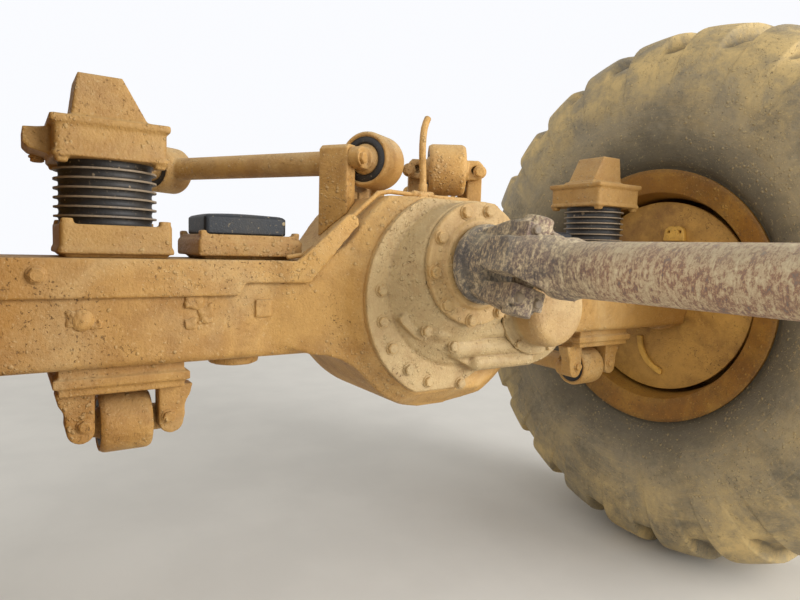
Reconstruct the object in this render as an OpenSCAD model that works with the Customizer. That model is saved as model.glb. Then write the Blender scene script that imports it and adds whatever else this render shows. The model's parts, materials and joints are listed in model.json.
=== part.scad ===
// Through-drive axle of a three-axle articulated hauler, with its two wheels,
// rubber spring seats, torque rods and propeller shaft.
// Millimetres. X points forward along the propeller shaft, Y to the left wheel,
// Z up. The origin is the centre of the bolt pattern on top of the two saddles.

/* [Wheels] */
// Distance between the two wheel centre planes
track = 2252; // [2180:1:2400]
// Outer diameter of a tyre, to the tips of its lugs
tyre_d = 1615; // [1560:1:1700]
// Width of a tyre at its widest
tyre_w = 597; // [570:1:640]
// Number of lugs round each half of the tread
lugs = 25; // [20:1:30]
// Height of the lugs
lug_h = 46; // [30:1:52]
// Width of the rim between its flanges
rim_w = 495; // [480:1:520]
// Diameter over the rim flanges
rim_flange_d = 762; // [750:1:780]
// Diameter of the bead seats
rim_seat_d = 635; // [625:1:650]
// Diameter of the clear bore in the rim
rim_bore_d = 600; // [590:1:606]
// Thickness of the wheel disc
disc_t = 24; // [16:1:32]
// Diameter of the final drive hub
hub_d = 430; // [380:1:460]
// Length of the final drive hub
hub_len = 250; // [220:1:270]
// Radius of the spindle that the hub turns on
spindle_r = 88; // [75:1:100]

/* [Axle housing] */
// Width of the beam, front to back
beam_w = 192; // [180:1:210]
// Height of the beam
beam_h = 176; // [160:1:190]
// Height of the beam's middle above the wheel axis
beam_z = 8; // [0:1:16]
// Distance between the beam's end and the brake shield
beam_end_gap = 7; // [4:1:20]
// Radius of the beam's long edges
edge_r = 14; // [6:1:24]
// Radius of the round middle of the housing
banjo_r = 240; // [234:1:246]
// Height of the round middle above the wheel axis
banjo_z = 28; // [22:1:34]
// Height of the flat on top of the round middle above the wheel axis
banjo_top = 226; // [220:1:232]
// Depth of the flat under the round middle below the wheel axis
banjo_bottom = 210; // [204:1:212]
// Front face of the housing
banjo_front = 164; // [156:1:172]
// Depth of the housing behind the wheel axis
banjo_back = 150; // [140:1:165]
// Thickness of the guard strips
guard_t = 12; // [8:1:16]
// Radius of the fillet where the beam meets the round middle
banjo_fillet = 130; // [100:1:160]

/* [Gear carrier] */
// Radius of the carrier's bolted flange
carrier_r = 209; // [204:1:214]
// Height of the flange's centre above the wheel axis
carrier_z = 30; // [24:1:36]
// Thickness of the carrier's flange
flange_t = 16; // [12:1:20]
// Height of the shaft line above the wheel axis
input_z = 98; // [94:1:104]
// Radius of the input drum where it meets the flange
drum_r = 161; // [150:1:170]
// Height of the drum's foot above the wheel axis
drum_z = 55; // [48:1:62]
// Radius of the input cover
cover_r = 119; // [112:1:124]
// Front face of the input cover
cover_front = 245; // [238:1:252]
// Sideways place of the gear case's lower bearing
dome_y = 190; // [186:1:200]
// Height of the gear case's lower bearing above the wheel axis
dome_z = 8; // [0:1:12]
// Radius of the domed bearing cover
dome_r = 83; // [76:1:88]
// Front end of the domed bearing cover
dome_front = 284; // [274:1:296]

/* [Propeller shaft] */
// Place of the rear universal joint's centre
joint_x = 374; // [368:1:384]
// Turn of the rear joint about the shaft line
joint_turn = -16; // [-45:1:45]
// Distance from a joint's centre to the end of the shaft's tube
weld_x = 112; // [104:1:126]
// Distance between the centres of the two universal joints
shaft_len = 1000; // [900:1:1200]
// Radius of the shaft's tube
shaft_r = 45; // [40:1:48]
// Radius of the yoke flanges
yoke_r = 76; // [74:1:84]
// Radius of a yoke's ears
ear_r = 30; // [28:1:34]
// Radius of the bearing cups on the cross
cup_r = 17; // [14:1:19]
// Reach of the cross from its centre to a cup's end
cross_reach = 84; // [80:1:86]
// Running clearance round the bearing cups, in radius
running_gap = 0.05; // [0.02:0.01:0.1]
// Radius of the splined stub inside the slip yoke
stub_r = 31; // [28:1:33]
// Radius of the input and output shafts where they leave their covers
stem_r = 40; // [36:1:44]
// Travel of the slip yoke each way
slip_travel = 30; // [20:1:40]

/* [Springs and stops] */
// Distance from the centre plane to a spring
spring_y = 617; // [605:1:630]
// Radius of the steel plates in a spring
plate_r = 79; // [76:1:82]
// Radius of the rubber layers in a spring
rubber_r = 74; // [70:1:75]
// Thickness of one rubber layer
rubber_t = 12; // [10:0.5:14]
// Thickness of one steel plate
plate_t = 3; // [2:0.5:4]
// Number of rubber layers
layers = 7; // [5:1:8]
// Height of the lower spring seat
seat_h = 52; // [44:1:60]
// Height of the upper spring seat
upper_h = 62; // [54:1:70]
// Height of the tapered saddle on the upper seat
saddle_h = 74; // [66:1:84]
// Length of the saddle, front to back
saddle_len = 88; // [80:1:100]
// Distance between the two bolt holes in one saddle
saddle_bolts = 46; // [40:1:52]
// Distance from the centre plane to the saddle bolts
saddle_y = 628; // [622:1:634]
// Radius of the saddle bolt holes
saddle_hole_r = 9; // [7:0.5:10]
// Distance from the centre plane to a bump stop
stop_y = 389; // [380:1:398]
// Width of the bump stop's tray
stop_w = 190; // [170:1:196]

/* [Rods] */
// Distance from the centre plane to a lower link
link_y = 594; // [585:1:604]
// Depth of a lower link's eye below the wheel axis
link_z = 190; // [180:1:200]
// Length of a lower link between eye centres
link_len = 640; // [560:1:720]
// Radius of a lower link's eye
link_eye_r = 52; // [48:1:56]
// Distance from the centre plane to an upper rod's front eye
rod_y = 98; // [94:1:102]
// Radius of an upper rod's eye
rod_eye_r = 58; // [52:1:60]
// Height of the upper rods above the wheel axis
rod_z = 307; // [300:1:315]
// Angle at which the upper rods spread
rod_splay = 32; // [28:1:36]
// Length of an upper rod between eye centres
rod_len = 600; // [520:1:660]
// Radius of the rods' tubes
rod_r = 27; // [22:1:30]
// Half the width of a rod's eye
eye_half = 42; // [38:1:44]
// Radius of a rod's pin
pin_r = 24; // [20:1:26]
// Thickness of the flats on a pin
pin_t = 26; // [22:1:30]
// Radius of the bolt holes in a pin
pin_hole_r = 9; // [7:0.5:10]
// Distance between the two bolt holes in a rod's pin
pin_bolts = 132; // [128:1:140]

/* [Brakes] */
// Radius of the brake shield
shield_r = 288; // [280:1:290]
// Distance from the wheel's centre plane in to the brake shield
shield_in = 187; // [180:1:200]

/* [Hidden] */
$fn = 72;
beam_top = beam_z + beam_h / 2;
beam_bottom = beam_z - beam_h / 2;
stack_h = layers * rubber_t + (layers - 1) * plate_t;
seat_top = beam_top + seat_h;
stack_top = seat_top + stack_h;
upper_top = stack_top + upper_h;
saddle_top = upper_top + saddle_h;
wheel_y = track / 2;
tyre_r = tyre_d / 2;
flange_front = banjo_front + flange_t;
shield_y = wheel_y - shield_in;
beam_end_y = shield_y - beam_end_gap;
slip_x = shaft_len - 330;
yoke_len = joint_x - cover_front - 14;
ear_in = 46;
ear_out = cross_reach + 4;
spindle_end = wheel_y + 96;
eps = 0.5;

// Moves what is drawn about the wheel axis into the part's own frame
module on_axle() {
    translate([0, 0, -saddle_top]) children();
}

// Draws the left piece as it is, and the right one mirrored
module on_side(side) {
    on_axle() mirror([0, side == "right" ? 1 : 0, 0]) children();
}

// A solid of revolution about X, from [radius, place along X] pairs
module turned_x(points) {
    rotate([0, 90, 0]) rotate_extrude() polygon(points);
}

// A solid of revolution about Y, from [radius, place along Y] pairs
module turned_y(points) {
    rotate([-90, 0, 0]) rotate_extrude() polygon(points);
}

// A plain cylinder along X between two planes
module rod_x(r, x0, x1) {
    translate([x0, 0, 0]) rotate([0, 90, 0]) cylinder(r = r, h = x1 - x0);
}

// A plain cylinder along Y between two planes
module rod_y(r, y0, y1) {
    translate([0, y0, 0]) rotate([-90, 0, 0]) cylinder(r = r, h = y1 - y0);
}

// A plain cylinder along Z between two planes
module rod_z(r, z0, z1) {
    translate([0, 0, z0]) cylinder(r = r, h = z1 - z0);
}

// A block from its two corners
module block(a, b) {
    translate(a) cube(b - a);
}

// A rectangle with round corners, centred
module round_rect(w, h, r) {
    square([w - 2 * r, h], center = true);
    square([w, h - 2 * r], center = true);
    for (i = [-1, 1], j = [-1, 1]) translate([i * (w / 2 - r), j * (h / 2 - r)]) circle(r);
}

// Stands a drawing in the YZ plane and gives it depth along X
module along_x(x0, x1) {
    translate([x0, 0, 0]) rotate([90, 0, 90]) linear_extrude(x1 - x0) children();
}

// Stands a drawing in the XZ plane and gives it depth along Y
module along_y(y0, y1) {
    translate([0, y1, 0]) rotate([90, 0, 0]) linear_extrude(y1 - y0) children();
}

// Housing

// Points along an arc
function arc(centre, r, from, to, steps = 12) =
    [for (i = [0:steps]) centre + r * [cos(from + (to - from) * i / steps), sin(from + (to - from) * i / steps)]];

// One edge of the housing's left half, from its middle to its end: the flat, the round middle,
// the fillet and the beam, over the wheel axis (up = 1) or under it (up = -1)
function housing_edge(up) =
    let (
        edge = up > 0 ? beam_top - eps : beam_bottom + eps,
        flat = up > 0 ? banjo_top - banjo_z : banjo_bottom + banjo_z,
        rise = up * (edge - banjo_z) + banjo_fillet,
        reach = sqrt(pow(banjo_r + banjo_fillet, 2) - pow(rise, 2)),
        meet = atan2(rise, reach)
    )
    concat(
        arc([0, banjo_z], banjo_r, up * asin(flat / banjo_r), up * meet),
        [for (q = arc([reach, edge + up * banjo_fillet], banjo_fillet, up * (180 + meet), up * 270)) q],
        [[reach + 90, edge - up * 30]]
    );

function reversed(list) = [for (i = [len(list) - 1:-1:0]) list[i]];
function flipped(list) = [for (q = list) [-q.x, q.y]];

// Outline of the housing in the YZ plane
module housing_outline() {
    left = concat(housing_edge(1), reversed(housing_edge(-1)));
    polygon(concat(left, flipped(reversed(left))));
}

// Turned envelope that lets the beam swell into the round middle, moved forward by a step
module flare(step) {
    rim = carrier_r + 3;
    translate([step, 0, carrier_z]) turned_x([
        [0, -banjo_back], [150, -banjo_back], [205, -banjo_back * 0.8],
        [400, -beam_w / 2 + 8], [400, beam_w / 2 - 8], [rim + 41, banjo_front - 38],
        [rim + 20, banjo_front - 26], [rim + 10, banjo_front - 14], [rim, banjo_front - 4],
        [rim, banjo_front], [0, banjo_front]
    ]);
}

module housing() {
    color("#c9a268") on_axle() {
        difference() {
            intersection() {
                along_x(-banjo_back, banjo_front) housing_outline();
                flare(0);
            }
            along_y(-banjo_r, banjo_r) polygon([
                [banjo_front - 64, -banjo_bottom - 1], [banjo_front + 1, -banjo_bottom - 1],
                [banjo_front + 1, -banjo_bottom + 46], [banjo_front - 64, -banjo_bottom + 4]
            ]);
        }
        rotate([0, 0, 90]) along_x(-beam_end_y, beam_end_y)
            translate([0, beam_z]) round_rect(beam_w, beam_h, edge_r);
        for (side = [0, 1]) mirror([0, side, 0]) turned_y([
            [0, beam_end_y - 20], [82, beam_end_y - 20], [82, beam_end_y], [106, shield_y - 4],
            [106, shield_y], [spindle_r + 14, shield_y],
            [spindle_r + 14, shield_y + 60], [spindle_r, shield_y + 66],
            [spindle_r, spindle_end], [0, spindle_end]
        ]);
        for (side = [-1, 1]) translate([20, side * 405, beam_bottom]) rod_z(46, -18, 1);
    }
}

// Gear carrier

// Outline of the carrier's flange in the YZ plane: a disc with a flat at its top and its foot
module flange_outline() {
    foot = carrier_z - carrier_r + 22;
    side = carrier_r + 1;
    intersection() {
        translate([0, carrier_z]) circle(carrier_r);
        polygon([
            [-side, foot], [0, foot], [dome_y - 135, foot + 28], [dome_y - 40, foot + 42], [side, foot + 80],
            [side, banjo_top - 4], [-side, banjo_top - 4]
        ]);
    }
}

// Outline of the gear case's split flange in the YZ plane
module split_outline() {
    translate([dome_y, dome_z]) circle(dome_r + 44);
    polygon([
        [-drum_r + 12, drum_z - 62], [-141, dome_z - 27], [-113, dome_z - 51], [-53, dome_z - 80],
        [38, dome_z - 127], [dome_y, dome_z - dome_r - 44], [dome_y + 90, dome_z + 80],
        [90, input_z + 110], [0, input_z]
    ]);
}

// Input drum, a leaning cone that is grown by a gap for what lies beside it
module drum(gap) {
    hull() {
        translate([0, 0, drum_z]) rod_x(drum_r + gap, flange_front - 1, flange_front + 4);
        translate([0, 0, input_z - 2]) rod_x(cover_r + 4 + gap, cover_front - 20, cover_front - 14 + gap);
    }
}

// Folds of the gear case between its split flange and the lower bearing
module case_folds() {
    // [height above the lower bearing, left end, radius]
    for (fold = [[-42, -58, 22], [-80, -14, 20], [-112, 40, 17]]) translate([flange_front + 18, 0, dome_z + fold[0]]) {
        rod_y(fold[2], fold[1], dome_y);
        translate([0, fold[1], 0]) sphere(fold[2], $fn = 36);
    }
}

module carrier() {
    color("#c6a26c") on_axle() difference() {
        union() {
            along_x(banjo_front, flange_front) flange_outline();
            along_x(flange_front, flange_front + 20) split_outline();
            along_x(flange_front + 20, flange_front + 26) offset(delta = -20) split_outline();
            case_folds();
            drum(0);
            translate([0, dome_y, dome_z]) turned_x([
                [0, flange_front], [dome_r + 44, flange_front], [dome_r + 38, flange_front + 22],
                [dome_r + 24, flange_front + 30], [0, flange_front + 30]
            ]);
        }
        translate([0, 0, input_z]) rod_x(62, cover_front - 40, cover_front);
        translate([0, dome_y, dome_z]) rod_x(dome_r + 20.3, flange_front + 30, dome_front);
        // Joint line of the split flange
        along_x(flange_front + 9, flange_front + 11) difference() {
            offset(delta = 20) split_outline();
            offset(delta = -2) split_outline();
        }
    }
}

module input_cover() {
    color("#d0ad74") on_axle() translate([0, 0, input_z]) turned_x([
        [stem_r, cover_front - 40], [62 - eps, cover_front - 40], [62 - eps, cover_front - 14],
        [cover_r, cover_front - 14], [cover_r, cover_front - 3], [cover_r - 3, cover_front],
        [88, cover_front], [84, cover_front + 8], [stem_r, cover_front + 8]
    ]);
}

module bearing_cover() {
    x0 = flange_front + 30;
    round = 26;
    color("#d2b07c") on_axle() difference() {
        translate([0, dome_y, dome_z]) turned_x(concat(
            [[0, x0], [dome_r + 20, x0], [dome_r + 20, x0 + 11], [dome_r, x0 + 14]],
            arc([dome_r - 2 - round, dome_front - round], round, 0, 90, 5),
            [[0, dome_front]]
        ));
        drum(0.3);
    }
}

// Rear of the housing, where the drive goes through to the next axle
module rear_case() {
    back = -banjo_back;
    color("#c29c64") on_axle() {
        difference() {
            translate([0, 0, banjo_z]) turned_x(concat(
                [[0, back - 30]], arc([120, back - 10], 20, -90, 0, 4), [[150, back - 6], [164, back - 6], [164, back], [0, back]]
            ));
            translate([0, 0, input_z]) rod_x(stem_r, back - 40, back + 10);
        }
        translate([0, 0, input_z]) turned_x([
            [stem_r, back - 110], [66, back - 110], [70, back - 104], [70, back - 60],
            [62, back - 54], [62, back - 40], [82, back], [stem_r, back]
        ]);
        for (a = [30, 150, 210, 330]) translate([0, 0, input_z]) rotate([a, 0, 0])
            block([back - 54, 55, -5], [back - 29, 100, 5]);
    }
}

// Drive line

// A yoke flange with two bearing blocks for a cross on the Z axis. Its flange faces away from the cross.
module wing_yoke() {
    block_in = 37;
    block_half = 34;
    neck = -yoke_len + 50;
    difference() {
        union() {
            turned_x([
                [0, -yoke_len], [yoke_r, -yoke_len], [yoke_r, -yoke_len + 14], [yoke_r - 12, -yoke_len + 18],
                [yoke_r - 16, -yoke_len + 30], [yoke_r - 20, neck], [0, neck]
            ]);
            for (up = [0, 1]) mirror([0, 0, up]) {
                intersection() {
                    union() {
                        block([-yoke_len + 20, -block_half, block_in], [8, block_half, cross_reach]);
                        // Wings that two bolts hold against the yoke
                        block([-20, -block_half - 6, block_in], [20, block_half + 6, cross_reach - 12]);
                    }
                    turned_x([
                        [0, -yoke_len], [yoke_r - 12, -yoke_len], [cross_reach - 2, -40], [cross_reach + 2, 24], [0, 24]
                    ]);
                }
                rod_z(cup_r + 9, block_in, cross_reach + 4);
            }
        }
        rod_z(cup_r + running_gap, -cross_reach - 0.5, cross_reach + 0.5);
    }
}

// A four-armed cross with bearing cups
module cross() {
    rod_z(cup_r, -cross_reach, cross_reach);
    rod_y(cup_r, -cross_reach, cross_reach);
    rod_z(cup_r + 4, -32, 32);
    rod_y(cup_r + 4, -41, 41);
    sphere(30);
}

// Two ears for a cross on the Y axis, which narrow from a tube's end
module tube_yoke() {
    throat = 66;
    difference() {
        union() {
            for (side = [0, 1]) mirror([0, side, 0]) {
                rod_y(ear_r, ear_in, ear_out);
                intersection() {
                    along_y(ear_in - 16, ear_out) polygon([
                        [0, -ear_r], [0, ear_r], [40, ear_r + 1], [weld_x - 12, shaft_r + 5],
                        [weld_x - 12, -shaft_r - 5], [40, -ear_r - 1]
                    ]);
                    turned_x([
                        [0, -ear_r], [ear_out + 4, -ear_r], [ear_out + 4, 30], [shaft_r + 8, weld_x - 14],
                        [shaft_r + 6, weld_x - 10], [0, weld_x - 10]
                    ]);
                }
            }
            turned_x([
                [0, throat + 4], [ear_in + 4, throat + 4], [shaft_r + 6, throat + 18], [shaft_r + 6, weld_x - 8],
                [shaft_r + 3, weld_x - 3], [shaft_r + 3, weld_x + 2], [shaft_r, weld_x + 6], [0, weld_x + 6]
            ]);
        }
        rod_y(cup_r + running_gap, -cross_reach - 0.5, cross_reach + 0.5);
        block([-60, -ear_in, -60], [throat, ear_in, 60]);
    }
}

// Places a piece about a joint's centre, turned with the drive line
module on_joint(x) {
    on_axle() translate([x, 0, input_z]) rotate([joint_turn, 0, 0]) children();
}

module input_yoke() {
    color("#6f6152") on_joint(joint_x) {
        wing_yoke();
        rod_x(stem_r - running_gap, -yoke_len - 50, -yoke_len + 1);
    }
}

module rear_cross() {
    color("#7d7263") on_joint(joint_x) cross();
}

module shaft() {
    color("#85796a") on_joint(joint_x) {
        tube_yoke();
        rod_x(shaft_r, weld_x, slip_x - 60);
        turned_x([
            [0, slip_x - 60], [shaft_r + 4, slip_x - 60], [shaft_r + 4, slip_x - 40],
            [stub_r, slip_x - 30], [stub_r, slip_x + 130], [0, slip_x + 130]
        ]);
    }
}

module slip_yoke() {
    color("#6b6054") on_joint(joint_x) difference() {
        union() {
            translate([shaft_len, 0, 0]) mirror([1, 0, 0]) tube_yoke();
            rod_x(shaft_r, slip_x + slip_travel, shaft_len - weld_x);
            rod_x(shaft_r + 4, slip_x + slip_travel - 16, slip_x + slip_travel + 24);
        }
        rod_x(stub_r + running_gap, slip_x - 20, slip_x + 130 + slip_travel + 8);
    }
}

module front_cross() {
    color("#7d7263") on_joint(joint_x + shaft_len) cross();
}

module front_yoke() {
    color("#6f6152") difference() {
        on_joint(joint_x + shaft_len) mirror([1, 0, 0]) wing_yoke();
        on_axle() translate([joint_x + shaft_len, 0, input_z])
            for (i = [0:3]) rotate([45 + i * 90, 0, 0]) translate([0, 60, 0]) rod_x(6, yoke_len - 40, yoke_len + 10);
    }
}

module output_yoke() {
    x0 = -banjo_back - 114;
    color("#6f6152") on_axle() translate([0, 0, input_z]) difference() {
        union() {
            rod_x(stem_r - running_gap, x0, -banjo_back - 4);
            rod_x(yoke_r, x0 - 16, x0);
        }
        for (i = [0:3]) rotate([45 + i * 90, 0, 0]) translate([0, 60, 0]) rod_x(6, x0 - 30, x0 + 10);
    }
}

// Rods and their brackets

// A rod of two rubber-bushed eyes on Y, its front eye at the origin
module torque_rod(len, r, half_w) {
    for (x = [0, -len]) translate([x, 0, 0]) {
        // Eye with a groove at each end round its rubber bush
        turned_y([
            [0, -half_w], [r * 0.52, -half_w], [r * 0.55, -half_w + 7], [r * 0.8, -half_w + 7], [r * 0.84, -half_w],
            [r - 4, -half_w], [r, -half_w + 8], [r, half_w - 8], [r - 4, half_w], [r * 0.84, half_w],
            [r * 0.8, half_w - 7], [r * 0.55, half_w - 7], [r * 0.52, half_w], [0, half_w]
        ]);
        eye_pin(half_w);
    }
    difference() {
        rod_x(rod_r, -len, 0);
        for (x = [0, -len]) translate([x, 0, 0]) rod_y(r * 0.6, -half_w - 1, half_w + 1);
    }
}

// Pin through an eye, with a drilled flat at each end that bolts to its bracket
module eye_pin(half_w) {
    difference() {
        union() {
            rod_y(pin_r, -half_w - 8, half_w + 8);
            along_x(-pin_t / 2, pin_t / 2) for (side = [-1, 1]) {
                translate([side * pin_bolts / 2, 0]) circle(pin_r - 2);
                translate([side * (half_w + pin_bolts / 2) / 2, 0])
                    square([pin_bolts / 2 - half_w, 2 * pin_r - 4], center = true);
            }
        }
        for (side = [-1, 1]) translate([0, side * pin_bolts / 2, 0]) rod_x(pin_hole_r, -pin_t, pin_t);
    }
}

module upper_rod(side) {
    color("#b98f57") on_side(side) translate([0, rod_y, rod_z]) rotate([0, 0, -rod_splay])
        torque_rod(rod_len, rod_eye_r, eye_half);
}

module lower_link(side) {
    color("#b08a55") on_side(side) translate([0, link_y, -link_z])
        torque_rod(link_len, link_eye_r, eye_half);
}

module upper_rod_left() { upper_rod("left"); }
module upper_rod_right() { upper_rod("right"); }
module lower_link_left() { lower_link("left"); }
module lower_link_right() { lower_link("right"); }

// Lugs behind the pins of the upper rods, on a saddle over the round middle of the housing
module rod_bracket() {
    back = -pin_t / 2;
    pin_end = eye_half + 8.3;
    outer = pin_bolts / 2 + 20;
    lug_t = 67;
    color("#b88f55") on_axle() difference() {
        for (side = [0, 1]) mirror([0, side, 0])
            translate([0, rod_y, 0]) rotate([0, 0, -rod_splay])
                for (y = [0, 1]) mirror([0, y, 0]) {
                    along_x(back - lug_t, back) polygon([
                        [pin_end, banjo_z], [outer, banjo_z], [outer, rod_z + 18], [outer - 8, rod_z + 26],
                        [pin_end, rod_z + 26]
                    ]);
                    // Foot that runs in under the eye
                    along_x(back - lug_t, back - 20) difference() {
                        polygon([
                            [pin_end + 1, banjo_z], [pin_end + 1, rod_z - 40],
                            [4, rod_z - rod_eye_r - 6], [4, banjo_z]
                        ]);
                        translate([0, rod_z]) circle(rod_eye_r + 6);
                    }
                }
        along_x(-beam_w, beam_w) housing_outline();
        for (side = [0, 1]) mirror([0, side, 0]) translate([0, rod_y, rod_z]) rotate([0, 0, -rod_splay])
            rod_y(rod_eye_r + 5, -eye_half - 4, eye_half + 4);
    }
}

// Hanger under the beam for a lower link: a foot and two ears in front of the link's pin
module link_bracket(side) {
    front = pin_t / 2;
    foot = beam_bottom - 46;
    low = -link_z;
    inner = eye_half + 8;
    outer = pin_bolts / 2 + 26;
    color("#b8935c") on_side(side) translate([0, link_y, 0]) {
        block([-60, -88, foot], [70, 104, beam_bottom]);
        block([-66, -96, foot + 14], [76, 112, foot + 30]);
        // Ears that end round in front of the pin's flats
        for (y = [0, 1]) mirror([0, y, 0]) along_x(front, front + 34) {
            translate([(inner + outer) / 2, low]) circle((outer - inner) / 2);
            difference() {
                polygon([[inner, foot + 1], [inner, low], [outer, low], [outer + 16, foot + 1]]);
                translate([outer + 40, low + 20]) circle(38);
            }
        }
    }
}

module link_bracket_left() { link_bracket("left"); }
module link_bracket_right() { link_bracket("right"); }

// Springs and stops

module lower_seat(side) {
    color("#c9a46c") on_side(side) translate([0, spring_y - 7, 0]) {
        translate([0, 0, beam_top]) linear_extrude(6) round_rect(150, 154, 8);
        translate([0, 0, beam_top + 6]) linear_extrude(seat_h - 6) round_rect(164, 166, 8);
        translate([0, 0, beam_top + 6]) linear_extrude(8) round_rect(170, 172, 8);
        // Corner lugs round the lowest rubber layer
        for (x = [-1, 1], y = [-1, 1]) translate([x * 71, y * 72, seat_top - eps])
            linear_extrude(9 + eps) round_rect(18, 18, 5);
    }
}

module lower_seat_left() { lower_seat("left"); }
module lower_seat_right() { lower_seat("right"); }

module spring(side) {
    color("#1c1b1d") on_side(side) translate([0, spring_y, 0])
        for (i = [0:layers - 1]) {
            z = seat_top + i * (rubber_t + plate_t);
            rod_z(rubber_r, z, z + rubber_t);
        }
}

module spring_left() { spring("left"); }
module spring_right() { spring("right"); }

module spring_plates(side) {
    color("#8d7b62") on_side(side) translate([0, spring_y, 0])
        for (i = [1:layers - 1]) {
            z = seat_top + i * (rubber_t + plate_t) - plate_t;
            rod_z(plate_r, z, z + plate_t);
        }
}

module spring_plates_left() { spring_plates("left"); }
module spring_plates_right() { spring_plates("right"); }

module upper_seat(side) {
    color("#c19b62") on_side(side) difference() {
        union() {
            translate([0, spring_y, stack_top]) linear_extrude(upper_h - 12) round_rect(168, 164, 10);
            translate([0, spring_y, stack_top]) linear_extrude(7) round_rect(174, 170, 10);
            translate([0, spring_y, upper_top - 12]) linear_extrude(12) round_rect(178, 174, 6);
            for (x = [-1, 1], y = [-1, 1]) translate([x * 73, spring_y + y * 71, stack_top - 9])
                linear_extrude(9 + eps) round_rect(18, 18, 5);
            // Ear outboard of the seat
            along_x(-50, 40) polygon([
                [spring_y + 80, stack_top + 4], [spring_y + 112, stack_top + 12], [spring_y + 120, stack_top + 20],
                [spring_y + 120, upper_top - 18], [spring_y + 80, upper_top - 14]
            ]);
            along_x(-saddle_len / 2, saddle_len / 2) polygon([
                [spring_y - 64, upper_top - eps], [spring_y + 56, upper_top - eps],
                [saddle_y + 34, saddle_top], [saddle_y - 32, saddle_top]
            ]);
            along_x(-saddle_len / 2 - 5, saddle_len / 2 + 5) polygon([
                [spring_y - 70, upper_top - eps], [spring_y + 62, upper_top - eps],
                [spring_y + 60, upper_top + 7], [spring_y - 68, upper_top + 7]
            ]);
        }
        for (x = [-1, 1]) translate([x * saddle_bolts / 2, saddle_y, 0])
            rod_z(saddle_hole_r, saddle_top - 50, saddle_top + 1);
    }
}

module upper_seat_left() { upper_seat("left"); }
module upper_seat_right() { upper_seat("right"); }

module stop_tray(side) {
    color("#c9a46c") on_side(side) translate([0, stop_y, 0]) {
        block([-60, -80, beam_top], [60, 80, beam_top + 6 + eps]);
        block([-78, -stop_w / 2, beam_top + 6], [80, stop_w / 2, beam_top + 34]);
        block([-74, -stop_w / 2 + 4, beam_top + 34 - eps], [76, stop_w / 2 - 4, beam_top + 44]);
        for (x = [-66, 68], y = [-1, 1]) translate([x, y * (stop_w / 2 - 9), beam_top + 44 - eps])
            linear_extrude(7) round_rect(18, 12, 4);
    }
}

module stop_tray_left() { stop_tray("left"); }
module stop_tray_right() { stop_tray("right"); }

module stop_block(side) {
    z0 = beam_top + 44;
    color("#2c333d") on_side(side) translate([0, stop_y + 4, 0]) intersection() {
        along_y(-76, 76) polygon([[-60, z0], [60, z0], [60, z0 + 34], [53, z0 + 40], [-53, z0 + 40], [-60, z0 + 34]]);
        along_x(-60, 60) polygon([[-76, z0], [76, z0], [76, z0 + 34], [69, z0 + 40], [-69, z0 + 40], [-76, z0 + 34]]);
    }
}

module stop_block_left() { stop_block("left"); }
module stop_block_right() { stop_block("right"); }

// Guard strip along the front top edge of the beam, bent up over the round middle
module guard(side) {
    color("#cda970") on_side(side) difference() {
        intersection() {
            along_x(beam_w / 2, banjo_front + 20) guard_outline();
            union() {
                flare(guard_t);
                block([0, 0, 0], [beam_w / 2 + guard_t, beam_end_y, beam_top + 1]);
            }
        }
        flare(0.3);
    }
}

// Outline of the strip: along the beam, a step down to its broad part, and a round end on the slope
module guard_outline() {
    outer = beam_end_y - 40;
    bend = 318;
    strip_w = 40;
    broad_w = 62;
    top = [218, beam_top + 76];
    slope = atan2(top.y - beam_top, top.x - bend + 6);
    polygon([
        [outer, beam_top - broad_w], [outer, beam_top], [bend, beam_top],
        top + 13 * [cos(slope - 90), sin(slope - 90)], top + 13 * [cos(slope + 90), sin(slope + 90)],
        [bend - 20, beam_top - strip_w], [bend + 92, beam_top - strip_w], [bend + 104, beam_top - broad_w]
    ]);
    translate(top) circle(13);
}

module guard_left() { guard("left"); }
module guard_right() { guard("right"); }

// Brakes

module shield(side) {
    color("#b98a46") on_side(side) turned_y([
        [spindle_r + 14.3, shield_y], [shield_r, shield_y], [shield_r, shield_y + 12],
        [shield_r - 4, shield_y + 12], [shield_r - 4, shield_y + 4], [spindle_r + 14.3, shield_y + 4]
    ]);
}

module shield_left() { shield("left"); }
module shield_right() { shield("right"); }

module brake_arm(side) {
    color("#b98a46") on_side(side) {
        // Curved strap low on the shield
        along_y(shield_y - 10, shield_y) difference() {
            translate([54, -130]) circle(116);
            translate([54, -130]) circle(98);
            translate([-100, -130]) square(300);
            translate([30, -300]) square(300);
        }
        // Lug high on the shield
        along_y(shield_y - 16, shield_y) difference() {
            polygon([[12, 168], [84, 168], [78, 204], [64, 214], [32, 214], [18, 204]]);
            for (x = [30, 66]) translate([x, 196]) circle(5, $fn = 24);
        }
    }
}

module brake_arm_left() { brake_arm("left"); }
module brake_arm_right() { brake_arm("right"); }

// A pipe through a list of points
module pipe(points, r) {
    for (i = [0:len(points) - 2]) {
        d = points[i + 1] - points[i];
        translate(points[i]) rotate([0, acos(d.z / norm(d)), atan2(d.y, d.x)]) cylinder(r = r, h = norm(d));
        if (i > 0) translate(points[i]) sphere(r + 0.4);
    }
}

// Brake pipes and their tee along the top of the housing
module pipes() {
    z = banjo_top + 6;
    color("#b3905c") on_axle() {
        pipe([
            [112, -44, z], [104, -118, z + 4], [112, -150, z - 2], [106, -230, 158],
            [100, -300, beam_top + 11], [90, -330, beam_top + 6]
        ], 5);
        pipe([[112, -44, z], [104, 20, z], [100, 84, z]], 5);
        block([100, -58, banjo_top], [124, -30, z + 8]);
        for (y = [-68, -30]) translate([111, 0, z + 2.3]) rod_y(8, y, y + 12);
    }
}

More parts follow.
